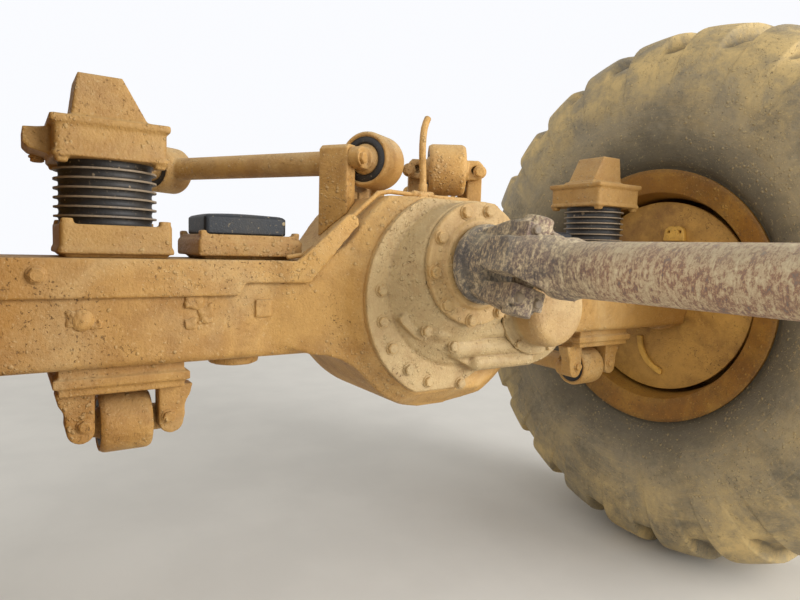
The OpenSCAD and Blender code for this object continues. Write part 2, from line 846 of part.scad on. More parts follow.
// A bent pipe swept along its route, which rises all the way
function ring(middle, way, r, sides) =
    let (u = cross(way, [1, 0, 0]) / norm(cross(way, [1, 0, 0])), v = cross(way, u) / norm(way))
    [for (k = [0:sides - 1]) middle + r * (cos(360 * k / sides) * u + sin(360 * k / sides) * v)];

module swept(route, r, sides = 12) {
    last = len(route) - 1;
    rings = [for (i = [0:last]) ring(route[i], route[min(i + 1, last)] - route[max(i - 1, 0)], r, sides)];
    walls = [
        for (i = [0:last - 1], k = [0:sides - 1])
            let (a = i * sides, b = a + sides, n = (k + 1) % sides)
            each [[a + k, b + k, a + n], [a + n, b + k, b + n]]
    ];
    ends = [[for (k = [0:sides - 1]) k], [for (k = [sides - 1:-1:0]) last * sides + k]];
    polyhedron([for (q = rings) each q], concat(walls, ends));
}

// Steel breather pipe standing on the tee
module breather() {
    z0 = banjo_top + 14;
    color("#c2a06a") on_axle() {
        translate([112, -44, 0]) rod_z(9, z0, z0 + 16);
        swept([
            [112, -44, z0 + 8], [113, -45, z0 + 26], [115, -48, z0 + 50], [117, -51, z0 + 72], [118, -52, z0 + 92],
            [118.5, -51.5, z0 + 110], [118, -49, z0 + 126], [116, -44, z0 + 138], [112, -37, z0 + 148]
        ], 7);
    }
}

// Wheels, in the frame of the left one

module rim(side) {
    y0 = wheel_y - rim_w / 2;
    y1 = wheel_y + rim_w / 2;
    rf = rim_flange_d / 2;
    rs = rim_seat_d / 2;
    rb = rim_bore_d / 2;
    disc_y = wheel_y + 40;
    color("#b5843c") on_side(side) turned_y([
        [rb, y0 + 74], [rs - 4, y0 + 16], [rf - 12, y0], [rf, y0], [rf, y0 + 12], [rs + 14, y0 + 14],
        [rs + 6, y0 + 70], [rs, y0 + 76], [rs, y1 - 76], [rs + 6, y1 - 70], [rs + 14, y1 - 14],
        [rf, y1 - 12], [rf, y1], [rf - 12, y1], [rs - 4, y1 - 16], [rb, y1 - 74],
        [rb, disc_y + disc_t + 6], [hub_d / 2 + 70, disc_y + disc_t], [hub_d / 2 + 0.05, disc_y + disc_t],
        [hub_d / 2 + 0.05, disc_y], [rb - 10, disc_y], [rb, disc_y - 10]
    ]);
}

module rim_left() { rim("left"); }
module rim_right() { rim("right"); }

module tyre(side) {
    color("#5d5348") on_side(side) {
        turned_y(mirrored(tyre_edge(lug_h)), $fn = 2 * lugs);
        for (half = [0, 1]) intersection() {
            turned_y(mirrored(tyre_edge(0)), $fn = 2 * lugs);
            tooth_ring(half);
        }
    }
}

// Edge of a tyre's section, from its bead to the middle of its tread, as radius and distance
// from the wheel's centre plane. The tread is lower by a depth.
function tyre_edge(depth) =
    let (w = tyre_w / 2, bead = rim_w / 2 - 14, rf = rim_flange_d / 2, rs = rim_seat_d / 2)
    [
        [rs + 6.5, bead - 56], [rs + 14.5, bead], [rf + 1, bead + 1], [rf + 28, w - 34], [rf + 90, w - 8],
        [rf + 144, w], [tyre_r - 205, w - depth * 0.05], [tyre_r - 110, w - 26 - depth * 0.2],
        [tyre_r - 40 - depth, w - 82], [tyre_r - depth, w - 178]
    ];

// Closes the section from one edge, the same on both sides of the wheel's centre plane
function mirrored(edge) = concat(
    [for (q = edge) [q.x, wheel_y - q.y]], [for (q = reversed(edge)) [q.x, wheel_y + q.y]]
);

// A ring of lugs over half of the tread, set half a pitch on from the other half
module tooth_ring(half) {
    pitch = 360 / lugs;
    share = 0.3;
    turn = half * pitch / 2;
    y0 = half > 0 ? wheel_y - tyre_w / 2 - 1 : wheel_y - 20;
    y1 = half > 0 ? wheel_y + 20 : wheel_y + tyre_w / 2 + 1;
    along_y(y0, y1) for (i = [0:lugs - 1]) rotate(i * pitch + turn)
        polygon([
            [tyre_r - 215, -tan(pitch * share) * tyre_r * 0.85], [tyre_r + 9, -tan(pitch * share) * tyre_r],
            [tyre_r + 9, tan(pitch * share) * tyre_r], [tyre_r - 215, tan(pitch * share) * tyre_r * 0.85]
        ]);
}

module tyre_left() { tyre("left"); }
module tyre_right() { tyre("right"); }

module hub(side) {
    r = hub_d / 2;
    y0 = wheel_y - 90;
    y1 = y0 + hub_len;
    color("#b98f4e") on_side(side) turned_y([
        [spindle_r + running_gap, y0], [r - 20, y0], [r, y0 + 20], [r, y1 - 10], [r - 10, y1],
        [spindle_r + running_gap, y1]
    ]);
}

module hub_left() { hub("left"); }
module hub_right() { hub("right"); }

module hub_cover(side) {
    r = hub_d / 2 - 22;
    y0 = wheel_y - 90 + hub_len;
    color("#c39a58") on_side(side) turned_y([
        [0, y0], [r, y0], [r, y0 + 16], [r - 30, y0 + 30], [90, y0 + 36], [84, y0 + 60], [0, y0 + 64]
    ]);
}

module hub_cover_left() { hub_cover("left"); }
module hub_cover_right() { hub_cover("right"); }

housing();
carrier();
input_cover();
bearing_cover();
rear_case();
input_yoke();
rear_cross();
shaft();
slip_yoke();
front_cross();
front_yoke();
output_yoke();
rod_bracket();
link_bracket_left();
link_bracket_right();
upper_rod_left();
upper_rod_right();
lower_link_left();
lower_link_right();
guard_left();
guard_right();
lower_seat_left();
lower_seat_right();
spring_left();
spring_right();
spring_plates_left();
spring_plates_right();
upper_seat_left();
upper_seat_right();
stop_tray_left();
stop_tray_right();
stop_block_left();
stop_block_right();
shield_left();
shield_right();
brake_arm_left();
brake_arm_right();
pipes();
breather();
rim_left();
rim_right();
tyre_left();
tyre_right();
hub_left();
hub_right();
hub_cover_left();
hub_cover_right();
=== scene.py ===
import json
import math

import bmesh
import bpy
from bpy.props import FloatProperty, FloatVectorProperty, IntProperty, PointerProperty
from mathutils import Matrix, Vector
from mathutils.noise import noise_vector, seed_set

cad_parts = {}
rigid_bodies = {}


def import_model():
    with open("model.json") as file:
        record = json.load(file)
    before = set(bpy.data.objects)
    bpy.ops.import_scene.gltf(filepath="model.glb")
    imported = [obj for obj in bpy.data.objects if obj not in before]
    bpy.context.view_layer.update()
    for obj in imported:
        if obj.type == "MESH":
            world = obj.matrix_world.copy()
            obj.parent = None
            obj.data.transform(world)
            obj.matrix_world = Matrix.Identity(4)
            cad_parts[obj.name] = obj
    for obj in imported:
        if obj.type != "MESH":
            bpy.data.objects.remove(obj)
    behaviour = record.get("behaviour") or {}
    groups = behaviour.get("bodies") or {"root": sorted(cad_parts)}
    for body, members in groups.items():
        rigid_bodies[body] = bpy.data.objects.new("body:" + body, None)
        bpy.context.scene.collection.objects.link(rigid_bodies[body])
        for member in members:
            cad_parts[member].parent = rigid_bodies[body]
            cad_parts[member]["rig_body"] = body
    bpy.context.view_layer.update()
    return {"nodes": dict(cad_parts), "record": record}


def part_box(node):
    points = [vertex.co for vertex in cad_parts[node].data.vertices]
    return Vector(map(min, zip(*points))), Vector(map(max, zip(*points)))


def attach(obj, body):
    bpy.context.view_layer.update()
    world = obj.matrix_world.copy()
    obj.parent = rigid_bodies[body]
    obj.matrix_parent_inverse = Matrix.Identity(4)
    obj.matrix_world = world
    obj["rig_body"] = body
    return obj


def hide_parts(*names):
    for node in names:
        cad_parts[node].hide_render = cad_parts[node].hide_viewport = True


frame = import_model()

bl_info = {
    "name": "Drive axle looks",
    "version": (1, 0, 0),
    "blender": (4, 5, 0),
    "location": "View3D > Sidebar > Axle",
    "description": "Dresses a hauler's drive axle in dusty paint, rusty steel and rubber",
    "category": "Object",
}

SIDES = ("left", "right")
AXLE_Z = sum(corner.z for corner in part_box("tyre_left")) / 2
FLOOR_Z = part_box("tyre_left")[0].z
WHEEL_Y = sum(corner.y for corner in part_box("tyre_left")) / 2
SHIELD_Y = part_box("shield_left")[0].y
# Front face of the beam, height of the input above the wheel axis, and turn of the joints about the shaft
BEAM_FACE = 0.096
INPUT_UP = 0.098
JOINT_TURN = math.radians(-16)
# The noise starts from the clock unless it is given a seed, which keeps the mud and pads the same in each run
NOISE_SEED = 1795778256


def linear(code):
    """Turns a six-digit colour as seen on a screen into Blender's linear colour."""
    parts = [int(code[i:i + 2], 16) / 255 for i in (0, 2, 4)]
    return tuple(c / 12.92 if c < 0.04045 else ((c + 0.055) / 1.055) ** 2.4 for c in parts)


def colour_property(name, description, code):
    return FloatVectorProperty(
        name=name, description=description, subtype="COLOR", size=3, min=0, max=1, default=linear(code))


def length_property(name, description, default):
    return FloatProperty(name=name, description=description, unit="LENGTH", min=0, default=default)


# Settings


class AxleSizes(bpy.types.PropertyGroup):
    """Sizes of what is added to the plain solids."""

    housing_grid: length_property("Housing grid", "Grid for the housing's edges", 0.005)
    cast_grid: length_property("Casting grid", "Grid for the edges of smaller castings", 0.0028)
    forged_grid: length_property("Forging grid", "Grid for the drive line's edges", 0.0024)
    kept_faces: FloatProperty(
        name="Kept faces", description="Share of a casting's faces that is kept after it is rounded",
        subtype="FACTOR", min=0.05, max=1, default=0.3)
    edge: length_property("Turned edge", "Bevel along the edges of turned pieces", 0.0015)
    bolt_height: FloatProperty(
        name="Bolt head height", description="Height of a bolt's head as a share of its radius",
        min=0.2, max=2, default=0.75)
    rubber_layers: IntProperty(
        name="Rubber layers", description="Number of rubber layers in a spring", min=2, default=7)
    spring_plate: length_property("Spring plate", "Thickness of a steel plate in a spring", 0.003)
    spring_waist: length_property("Spring waist", "How far a rubber layer is drawn in", 0.0028)
    rim_radius: length_property("Rim radius", "Radius over the rim's flanges", 0.381)
    lug_height: length_property("Lug height", "Height of the tyre's lugs", 0.046)
    lugs: IntProperty(name="Lugs", description="Number of lugs in each row of the tread", min=10, default=25)


class AxleColours(bpy.types.PropertyGroup):
    """Colours of the finishes."""

    paint: colour_property("Paint", "Faded paint of the castings", "bf934f")
    paint_shade: colour_property("Stained paint", "Darker stains in the paint", "93652a")
    dust: colour_property("Dust", "Dust that lies on the paint", "c8b083")
    end_stain: colour_property("Beam end stain", "Deeper paint towards the beam's ends", "9c6c28")
    case_dust: colour_property("Gear case dust", "Greyer dust caked on the gear case", "aa966e")
    wheel_paint: colour_property("Wheel paint", "Deeper paint of the brake shields and hubs", "b0833a")
    wheel_shade: colour_property("Stained wheel paint", "Darker stains in the wheels' paint", "6f4718")
    wheel_dust: colour_property("Wheel dust", "Dust on rims and shields", "c2953f")
    rim_paint: colour_property("Rim paint", "Rusty paint of the rims", "86570b")
    steel_dust: colour_property("Steel's dust", "Dust on the propeller shaft", "a69174")
    rust: colour_property("Rust", "Rust and old grease on the drive line", "68605a")
    red_rust: colour_property("Red rust", "Fresher rust on the propeller shaft", "8d6650")
    pale_mud: colour_property("Pale mud", "Pale mud rubbed on the propeller shaft", "d8caa8")
    rubber: colour_property("Rubber", "Rubber of the springs", "181615")
    stop: colour_property("Stop rubber", "Rubber of the bump stops", "0d1218")
    tyre: colour_property("Tyre", "Weathered rubber of the tyres", "7c725d")
    mud: colour_property("Mud", "Dried mud on the tyres", "ccb17a")
    floor: colour_property("Floor", "Plain pale floor", "d9d6cf")


class AxleStudio(bpy.types.PropertyGroup):
    """Light and camera."""

    # Camera, about the wheel axis, solved from the photograph's vanishing points
    camera_place: FloatVectorProperty(
        name="Camera place", description="Place of the camera from the wheel axis's middle",
        subtype="TRANSLATION", unit="LENGTH", default=(1.14268, -0.76427, 0.12368))
    camera_yaw: FloatProperty(
        name="Camera yaw", description="Turn of the view from straight back to the left wheel",
        subtype="ANGLE", default=math.radians(33.106))
    camera_pitch: FloatProperty(
        name="Camera pitch", description="Downward tilt of the view", subtype="ANGLE",
        default=math.radians(4.828))
    camera_roll: FloatProperty(
        name="Camera roll", description="Roll of the view", subtype="ANGLE", default=math.radians(-1.5815))
    focal_pixels: FloatProperty(
        name="Focal length in pixels", description="Focal length for an image 800 pixels wide",
        min=100, default=608.44)
    key_power: FloatProperty(name="Key", description="Power of the main light", unit="POWER", default=500)
    fill_power: FloatProperty(name="Fill", description="Power of the second light", unit="POWER", default=220)
    sky_strength: FloatProperty(name="Room", description="Strength of the even light", min=0, default=0.7)


def sizes():
    return bpy.context.scene.axle_sizes


def colours():
    return bpy.context.scene.axle_colours


# Node trees


def feed(node, inputs):
    """Gives a node its inputs: values, or the sockets that feed them."""
    for key, value in inputs.items():
        if isinstance(value, bpy.types.NodeSocket):
            node.id_data.links.new(value, node.inputs[key])
        else:
            node.inputs[key].default_value = value


def add(tree, kind, inputs=None, **settings):
    """Adds a node with its inputs and settings."""
    node = tree.nodes.new(kind)
    for key, value in settings.items():
        setattr(node, key, value)
    feed(node, inputs or {})
    return node


def colour(value):
    return value if isinstance(value, bpy.types.NodeSocket) else (*value[:3], 1)


def mix(share, a, b):
    """Mixes two colours, and gives the socket of the result."""
    node = add(share.id_data, "ShaderNodeMix", {0: share, 6: colour(a), 7: colour(b)}, data_type="RGBA")
    return node.outputs[2]


def math_node(operation, a, b=0.0, clamp=False):
    """Reckons with two values, of which one at least is a socket."""
    tree = a.id_data if isinstance(a, bpy.types.NodeSocket) else b.id_data
    return add(tree, "ShaderNodeMath", {0: a, 1: b}, operation=operation, use_clamp=clamp).outputs[0]


def vector_node(operation, inputs):
    """Reckons with vectors, of which the first is a socket, and gives the outputs."""
    return add(inputs[0].id_data, "ShaderNodeVectorMath", inputs, operation=operation).outputs


def times(a, b):
    return math_node("MULTIPLY", a, b)


def plus(a, b, clamp=False):
    return math_node("ADD", a, b, clamp)


def lay(base, mask, share, shade):
    """Lays a colour over another where a mask says, at a share of its strength."""
    return mix(times(mask, share), base, shade)


def remap(value, low, high, to_low=0.0, to_high=1.0):
    """Takes a value from one range smoothly to another."""
    node = add(
        value.id_data, "ShaderNodeMapRange",
        {"Value": value, "From Min": low, "From Max": high, "To Min": to_low, "To Max": to_high},
        interpolation_type="SMOOTHSTEP")
    return node.outputs["Result"]


def noise(place, scale, detail=4.0, rough=0.55, distortion=0.0):
    node = add(place.id_data, "ShaderNodeTexNoise", {
        "Vector": place, "Scale": scale, "Detail": detail, "Roughness": rough, "Distortion": distortion})
    return node.outputs["Fac"]


def place_of(tree, stretch=(1, 1, 1)):
    """Object coordinates, stretched along the axes."""
    place = add(tree, "ShaderNodeTexCoord").outputs["Object"]
    if stretch == (1, 1, 1):
        return place
    return add(tree, "ShaderNodeMapping", {"Vector": place, "Scale": stretch}).outputs["Vector"]


def axis_place(tree, axis):
    """Object coordinate along one axis."""
    return add(tree, "ShaderNodeSeparateXYZ", {0: place_of(tree)}).outputs[axis]


def shader_group(name, inputs, outputs):
    """Starts a shader node group from its inputs' defaults and its outputs' kinds.

    Gives its tree, its inputs and its output node.
    """
    tree = bpy.data.node_groups.new(name, "ShaderNodeTree")
    for label, default in inputs.items():
        kind = "Float" if isinstance(default, float) else "Color"
        socket = tree.interface.new_socket(label, in_out="INPUT", socket_type="NodeSocket" + kind)
        socket.default_value = default
    for label, kind in outputs.items():
        tree.interface.new_socket(label, in_out="OUTPUT", socket_type="NodeSocket" + kind)
    return tree, tree.nodes.new("NodeGroupInput").outputs, tree.nodes.new("NodeGroupOutput")


def use(tree, group, **inputs):
    """Places a shader group in a material, and gives its outputs."""
    given = {key.replace("_", " ").capitalize(): value for key, value in inputs.items()}
    return add(tree, "ShaderNodeGroup", given, node_tree=bpy.data.node_groups[group]).outputs


def build_mottle():
    """Paint that has faded and stained unevenly."""
    tree, given, out = shader_group(
        "mottle",
        {"Light": (1, 1, 1, 1), "Dark": (0, 0, 0, 1), "Scale": 3.0, "Amount": 0.5}, {"Color": "Color"})
    place = place_of(tree)
    broad = noise(place, given["Scale"], 5, 0.6, 0.4)
    fine = noise(place, times(given["Scale"], 9.0), 6, 0.65)
    both = plus(times(broad, 0.65), times(fine, 0.35))
    share = times(remap(both, 0.42, 0.64), given["Amount"])
    feed(out, {"Color": mix(share, given["Light"], given["Dark"])})


def build_dust():
    """Dust that lies on what faces up, with some in patches all over."""
    tree, given, out = shader_group(
        "settled dust", {"Amount": 0.5, "Patches": 0.4, "Scale": 5.0}, {"Mask": "Float"})
    facing = add(tree, "ShaderNodeTexCoord").outputs["Normal"]
    up = add(tree, "ShaderNodeSeparateXYZ", {0: facing}).outputs["Z"]
    place = place_of(tree)
    flat = times(remap(up, 0.15, 0.9), given["Amount"])
    patch = remap(noise(place, given["Scale"], 7, 0.62, 0.6), 0.42, 0.68)
    grit = remap(noise(place, 160.0, 3, 0.6), 0.35, 0.65, 0.72, 1.0)
    both = plus(flat, times(patch, given["Patches"]), True)
    feed(out, {"Mask": times(both, grit)})


def build_edges():
    """Edges that have worn, and hollows darkened as painted shade with some dirt, from the bend of the
    surface.
    """
    tree, given, out = shader_group(
        "edges and corners", {"Wear": 0.5, "Dirt": 0.5, "Scale": 30.0}, {"Edge": "Float", "Corner": "Float"})
    bend = add(tree, "ShaderNodeNewGeometry").outputs["Pointiness"]
    rough = remap(noise(place_of(tree), given["Scale"], 5, 0.65), 0.38, 0.6)
    edge = times(remap(bend, 0.515, 0.57), rough)
    # Where the surface bends inward it is darkened: painted shade, with some dirt
    corner = remap(bend, 0.495, 0.44)
    feed(out, {"Edge": times(edge, given["Wear"]), "Corner": times(corner, given["Dirt"])})


def build_grain():
    """Height of a sand-cast skin under paint and dust."""
    tree, given, out = shader_group(
        "cast grain", {"Scale": 220.0, "Pits": 0.35, "Waves": 0.5}, {"Height": "Float"})
    place = place_of(tree)
    sand = noise(place, given["Scale"], 4, 0.6)
    waves = noise(place, 18.0, 3, 0.5)
    cells = add(tree, "ShaderNodeTexVoronoi", {
        "Vector": place, "Scale": times(given["Scale"], 0.35), "Randomness": 1.0})
    pits = times(remap(cells.outputs["Distance"], 0.05, 0.3, -1.0, 0.0), given["Pits"])
    feed(out, {"Height": plus(plus(sand, times(waves, given["Waves"])), pits)})


def build_splatter():
    """Dried drops of mud in two sizes. Some cells of a pattern hold one, and they lie in swarms."""
    tree, given, out = shader_group(
        "splatter", {"Amount": 0.4, "Drops": 60.0, "Swarms": 6.0}, {"Mask": "Float", "Height": "Float"})
    place = place_of(tree)
    wobble = add(tree, "ShaderNodeTexNoise", {"Vector": place, "Scale": 60.0, "Detail": 3.0}).outputs["Color"]
    loose = vector_node("ADD", {0: place, 1: vector_node("SCALE", {0: wobble, "Scale": 0.009})[0]})[0]
    swarm = remap(noise(place, given["Swarms"], 4, 0.6), 0.4, 0.66)
    chance = math_node("SUBTRACT", 1.0, times(swarm, given["Amount"]))
    drops = 0.0
    for finer in (1.0, 2.1):
        cells = add(tree, "ShaderNodeTexVoronoi", {
            "Vector": loose, "Scale": times(given["Drops"], finer), "Randomness": 1.0})
        lot = add(tree, "ShaderNodeSeparateColor", {0: cells.outputs["Color"]}).outputs[0]
        held = math_node("GREATER_THAN", lot, chance)
        dome = times(remap(cells.outputs["Distance"], 0.42, 0.14), held)
        drops = math_node("MAXIMUM", drops, math_node("DIVIDE", dome, finer))
    feed(out, {"Mask": remap(drops, 0.05, 0.3), "Height": drops})


def build_grime():
    """Smudges, run-off and specks that break up a plain colour."""
    tree, given, out = shader_group(
        "grime", {"Smudge scale": 18.0, "Speck scale": 170.0},
        {"Smudge": "Float", "Dark": "Float", "Pale": "Float"})
    place = place_of(tree)
    smudge = remap(noise(place, given["Smudge scale"], 8, 0.72, 0.7), 0.42, 0.66)
    runs = remap(noise(place_of(tree, (1, 1, 0.18)), 42.0, 5, 0.7, 0.3), 0.5, 0.72)
    where = remap(noise(place, 7.0, 3), 0.4, 0.6)
    specks = noise(place, given["Speck scale"], 3, 0.7)
    dark = times(remap(specks, 0.4, 0.33), where)
    pale = remap(specks, 0.6, 0.7)
    both = math_node("MAXIMUM", smudge, times(runs, 0.7))
    feed(out, {"Smudge": both, "Dark": dark, "Pale": pale})


def build_crust():
    """Scabs of mud, rust and old paint on a turning shaft that lies along X, from 0, low, to 1, high."""
    tree, given, out = shader_group("crust", {"Scale": 70.0}, {"Level": "Float"})
    scabs = noise(place_of(tree, (1, 0.7, 0.7)), given["Scale"], 6, 0.82, 0.3)
    wide = noise(place_of(tree, (1, 0.5, 0.5)), times(given["Scale"], 0.25), 4, 0.65, 0.5)
    fine = noise(place_of(tree, (1, 0.1, 0.1)), times(given["Scale"], 2.2), 3, 0.7, 0.3)
    both = plus(plus(times(scabs, 0.55), times(wide, 0.25)), times(fine, 0.2))
    feed(out, {"Level": remap(both, 0.37, 0.65)})


def build_wheel_place():
    """Where a point lies on a wheel: its radius, and a place that follows arcs, for marks along them."""
    tree, given, out = shader_group(
        "wheel place", {"Across": 60.0, "Round": 5.0}, {"Radius": "Float", "Arcs": "Vector"})
    parts = add(tree, "ShaderNodeSeparateXYZ", {0: place_of(tree)}).outputs
    up = math_node("SUBTRACT", parts["Z"], AXLE_Z)
    flat = add(tree, "ShaderNodeCombineXYZ", {"X": parts["X"], "Z": up}).outputs[0]
    radius = vector_node("LENGTH", {0: flat})["Value"]
    turn = vector_node("SCALE", {0: vector_node("NORMALIZE", {0: flat})[0], "Scale": given["Round"]})[0]
    away = add(tree, "ShaderNodeCombineXYZ", {"Y": times(radius, given["Across"])}).outputs[0]
    feed(out, {"Radius": radius, "Arcs": vector_node("ADD", {0: turn, 1: away})[0]})


def new_material(slot):
    """Starts a material, and gives its tree and its shader."""
    material = bpy.data.materials.new(slot + "_finish")
    material.use_nodes = True
    tree = material.node_tree
    return tree, tree.nodes["Principled BSDF"]


def set_finish(shader, base, rough, height, bump):
    """Feeds a shader from its colour, roughness and height."""
    skin = add(shader.id_data, "ShaderNodeBump", {"Height": height, "Strength": bump, "Distance": 0.002})
    feed(shader, {"Base Color": base, "Roughness": rough, "Normal": skin.outputs["Normal"]})


def raised(height, mark, amount):
    """Adds a mark to a height, above it or sunk into it."""
    return plus(height, times(mark, amount))


def ramp(value, *stops):
    """A colour that follows a value through [place, colour] stops."""
    node = add(value.id_data, "ShaderNodeValToRGB", {0: value})
    row = node.color_ramp.elements
    while len(row) < len(stops):
        row.new(0.5)
    for element, (place, shade) in zip(row, stops):
        element.position = place
        element.color = colour(shade)
    return node.outputs["Color"]


def scaled(shade, factor):
    return [min(1.0, factor * c) for c in shade]


def mottled(tree, light, dark, scale, amount):
    return use(tree, "mottle", light=colour(light), dark=colour(dark), scale=scale, amount=amount)["Color"]


def paint_material(slot, light, dark, dust, dust_amount, patches, drops, scale=3.0):
    """Old paint on a casting: faded, stained, dusty, worn at its edges, and darkened in its corners by
    painted shade with some dirt.
    """
    tree, shader = new_material(slot)
    hue = colours()
    base = mottled(tree, light, dark, scale, 0.7)
    if slot == "axle_paint":
        # Stained towards the beam's ends, and dusty on the gear case but less so on its cover
        outer = remap(math_node("ABSOLUTE", axis_place(tree, "Y")), 0.5, 0.86, 0.0, 0.8)
        base = mix(outer, base, hue.end_stain)
        caked = mottled(tree, hue.case_dust, scaled(hue.case_dust, 0.7), 7.0, 0.7)
        ahead = axis_place(tree, "X")
        cover = remap(ahead, 0.236, 0.24, 0.0, 0.35)
        base = mix(math_node("SUBTRACT", remap(ahead, 0.16, 0.185, 0.0, 0.8), cover), base, caked)
    if slot == "wheel_paint":
        # Deeper on the rim, darkened at its flange by painted shade where the tyre meets it, and paler on the
        # brake arm in front of its shield
        radius = use(tree, "wheel place")["Radius"]
        deep = mottled(tree, hue.rim_paint, scaled(hue.rim_paint, 0.6), 6.0, 0.8)
        base = mix(remap(radius, 0.289, 0.292), base, deep)
        # Painted shade: the rim darkens towards its flange, in the gap by the tyre's bead
        base = mix(remap(radius, 0.366, 0.378, 0.0, 0.6), base, scaled(hue.rim_paint, 0.45))
        aside = math_node("ABSOLUTE", axis_place(tree, "Y"))
        arm = times(remap(aside, SHIELD_Y, SHIELD_Y - 0.003, 0.0, 0.85), remap(radius, 0.286, 0.283))
        base = mix(arm, base, scaled(hue.wheel_dust, 1.25))
    ends = use(tree, "edges and corners", wear=0.3, dirt=0.8)
    # Painted shade, with some dirt, darkens the corners
    base = mix(ends["Corner"], base, scaled(dark, 0.35))
    lying = use(tree, "settled dust", amount=dust_amount, patches=patches)["Mask"]
    base = mix(lying, base, dust)
    grime = use(tree, "grime")
    base = lay(base, grime["Smudge"], 0.32, scaled(dark, 0.8))
    base = lay(base, grime["Dark"], 0.75, scaled(dark, 0.35))
    base = lay(base, grime["Pale"], 0.3, scaled(dust, 1.15))
    base = mix(ends["Edge"], base, scaled(light, 1.25))
    splash = use(tree, "splatter", amount=drops, drops=92.0)
    base = lay(base, splash["Mask"], 0.22, dust)
    skin = use(tree, "cast grain", scale=230.0, pits=0.3, waves=1.0)["Height"]
    height = raised(raised(skin, splash["Height"], 1.6), grime["Dark"], -0.6)
    rough = remap(lying, 0.0, 1.0, 0.6, 0.92)
    set_finish(shader, base, rough, height, 0.75)


def steel_material():
    """The drive line's steel: rusty and greasy under a crust of mud and paint that lies in scabs."""
    tree, shader = new_material("dirty_steel")
    hue = colours()
    crust = use(tree, "crust", scale=165.0)["Level"]
    top = (1.0, scaled(hue.pale_mud, 1.3))
    dark = ramp(
        crust, (0.0, scaled(hue.rust, 0.5)), (0.38, scaled(hue.rust, 1.35)),
        (0.62, scaled(hue.steel_dust, 1.35)), top)
    pale = ramp(
        crust, (0.0, scaled(hue.rust, 1.5)), (0.25, scaled(hue.red_rust, 1.6)),
        (0.5, scaled(hue.steel_dust, 1.9)), top)
    broad = noise(place_of(tree), 9.0, 5, 0.6)
    reach = plus(axis_place(tree, "X"), times(math_node("SUBTRACT", broad, 0.5), 0.5))
    base = mix(remap(reach, 0.34, 0.6), dark, pale)
    ends = use(tree, "edges and corners", wear=0.45, dirt=0.9, scale=45.0)
    # Painted shade, with some dirt, darkens the hollows towards dark rust
    base = mix(ends["Corner"], base, scaled(hue.rust, 0.25))
    base = mix(ends["Edge"], base, hue.steel_dust)
    lying = use(tree, "settled dust", amount=0.35, patches=0.2, scale=11.0)["Mask"]
    base = mix(lying, base, scaled(hue.pale_mud, 0.85))
    height = raised(use(tree, "cast grain", scale=300.0, pits=0.4, waves=0.6)["Height"], crust, 2.2)
    set_finish(shader, base, remap(crust, 0.0, 1.0, 0.5, 0.85), height, 0.8)


def rubber_material(slot, rubber, dust, dust_amount, patches, drops, scale=6.0, bump=0.4):
    """Rubber under dust and dried mud."""
    tree, shader = new_material(slot)
    base = mottled(tree, scaled(rubber, 1.25), scaled(rubber, 0.7), scale, 0.8)
    lying = use(tree, "settled dust", amount=dust_amount, patches=patches, scale=scale)["Mask"]
    base = mix(lying, base, dust)
    grime = use(tree, "grime", smudge_scale=30.0)
    base = lay(base, grime["Pale"], 0.25, dust)
    splash = use(tree, "splatter", amount=drops, drops=80.0, swarms=11.0)
    base = lay(base, splash["Mask"], 0.5, dust)
    skin = use(tree, "cast grain", scale=320.0, pits=0.15, waves=0.6)["Height"]
    height = raised(skin, splash["Height"], 1.5)
    set_finish(shader, base, remap(lying, 0.0, 0.8, 0.55, 0.9), height, bump)


def tyre_material():
    """Weathered rubber: painted shade by the rim, scuffed along arcs, and ochre dust towards the tread,
    partly painted sunlight.
    """
    tree, shader = new_material("tyre_rubber")
    hue = colours()
    base = mottled(tree, scaled(hue.tyre, 1.2), scaled(hue.tyre, 0.6), 6.0, 0.8)
    wheel = use(tree, "wheel place", across=70.0, round=3.0)
    arcs = noise(wheel["Arcs"], 1.0, 7, 0.75)
    scuffs = remap(arcs, 0.5, 0.72)
    base = lay(base, scuffs, 0.4, scaled(hue.mud, 0.8))
    patch = remap(noise(place_of(tree), 4.5, 9, 0.72, 0.5), 0.36, 0.64)
    # Paler towards the tread: dried mud, and painted sunlight
    outward_dust_and_light = remap(wheel["Radius"], 0.46, 0.72, 0.1, 0.95)
    lying = use(tree, "settled dust", amount=0.2, patches=0.3, scale=9.0)["Mask"]
    dust_and_sunlight = plus(times(outward_dust_and_light, patch), times(lying, 0.5), True)
    grime = use(tree, "grime", smudge_scale=14.0, speck_scale=130.0)
    dust_and_sunlight = times(dust_and_sunlight, remap(grime["Smudge"], 0.0, 1.0, 1.0, 0.55))
    # Mixes in the mud: real dust, and painted sunlight towards the tread
    base = mix(dust_and_sunlight, base, hue.mud)
    # Painted shade: the sidewall darkens towards the rim
    painted_rim_shade = remap(wheel["Radius"], 0.52, 0.4, 0.0, 0.75)
    base = mix(painted_rim_shade, base, scaled(hue.tyre, 0.3))
    ends = use(tree, "edges and corners", wear=0.3, dirt=0.8, scale=22.0)
    # Painted shade, with some dirt, darkens the hollows
    base = mix(ends["Corner"], base, scaled(hue.tyre, 0.4))
    base = lay(base, grime["Dark"], 0.7, scaled(hue.tyre, 0.4))
    base = lay(base, grime["Pale"], 0.4, hue.mud)
    scratches = remap(noise(place_of(tree), 26.0, 6, 0.8, 2.5), 0.64, 0.67, 0.0, 0.5)
    base = mix(scratches, base, scaled(hue.tyre, 0.4))
    splash = use(tree, "splatter", amount=0.3, drops=85.0, swarms=5.0)
    base = lay(base, splash["Mask"], 0.3, hue.mud)
    skin = use(tree, "cast grain", scale=230.0, pits=0.2, waves=1.4)["Height"]
    height = raised(raised(skin, scuffs, -0.4), splash["Height"], 1.8)
    height = raised(height, scratches, -1.5)
    set_finish(shader, base, remap(dust_and_sunlight, 0.0, 0.8, 0.6, 0.92), height, 0.8)


# Making pieces


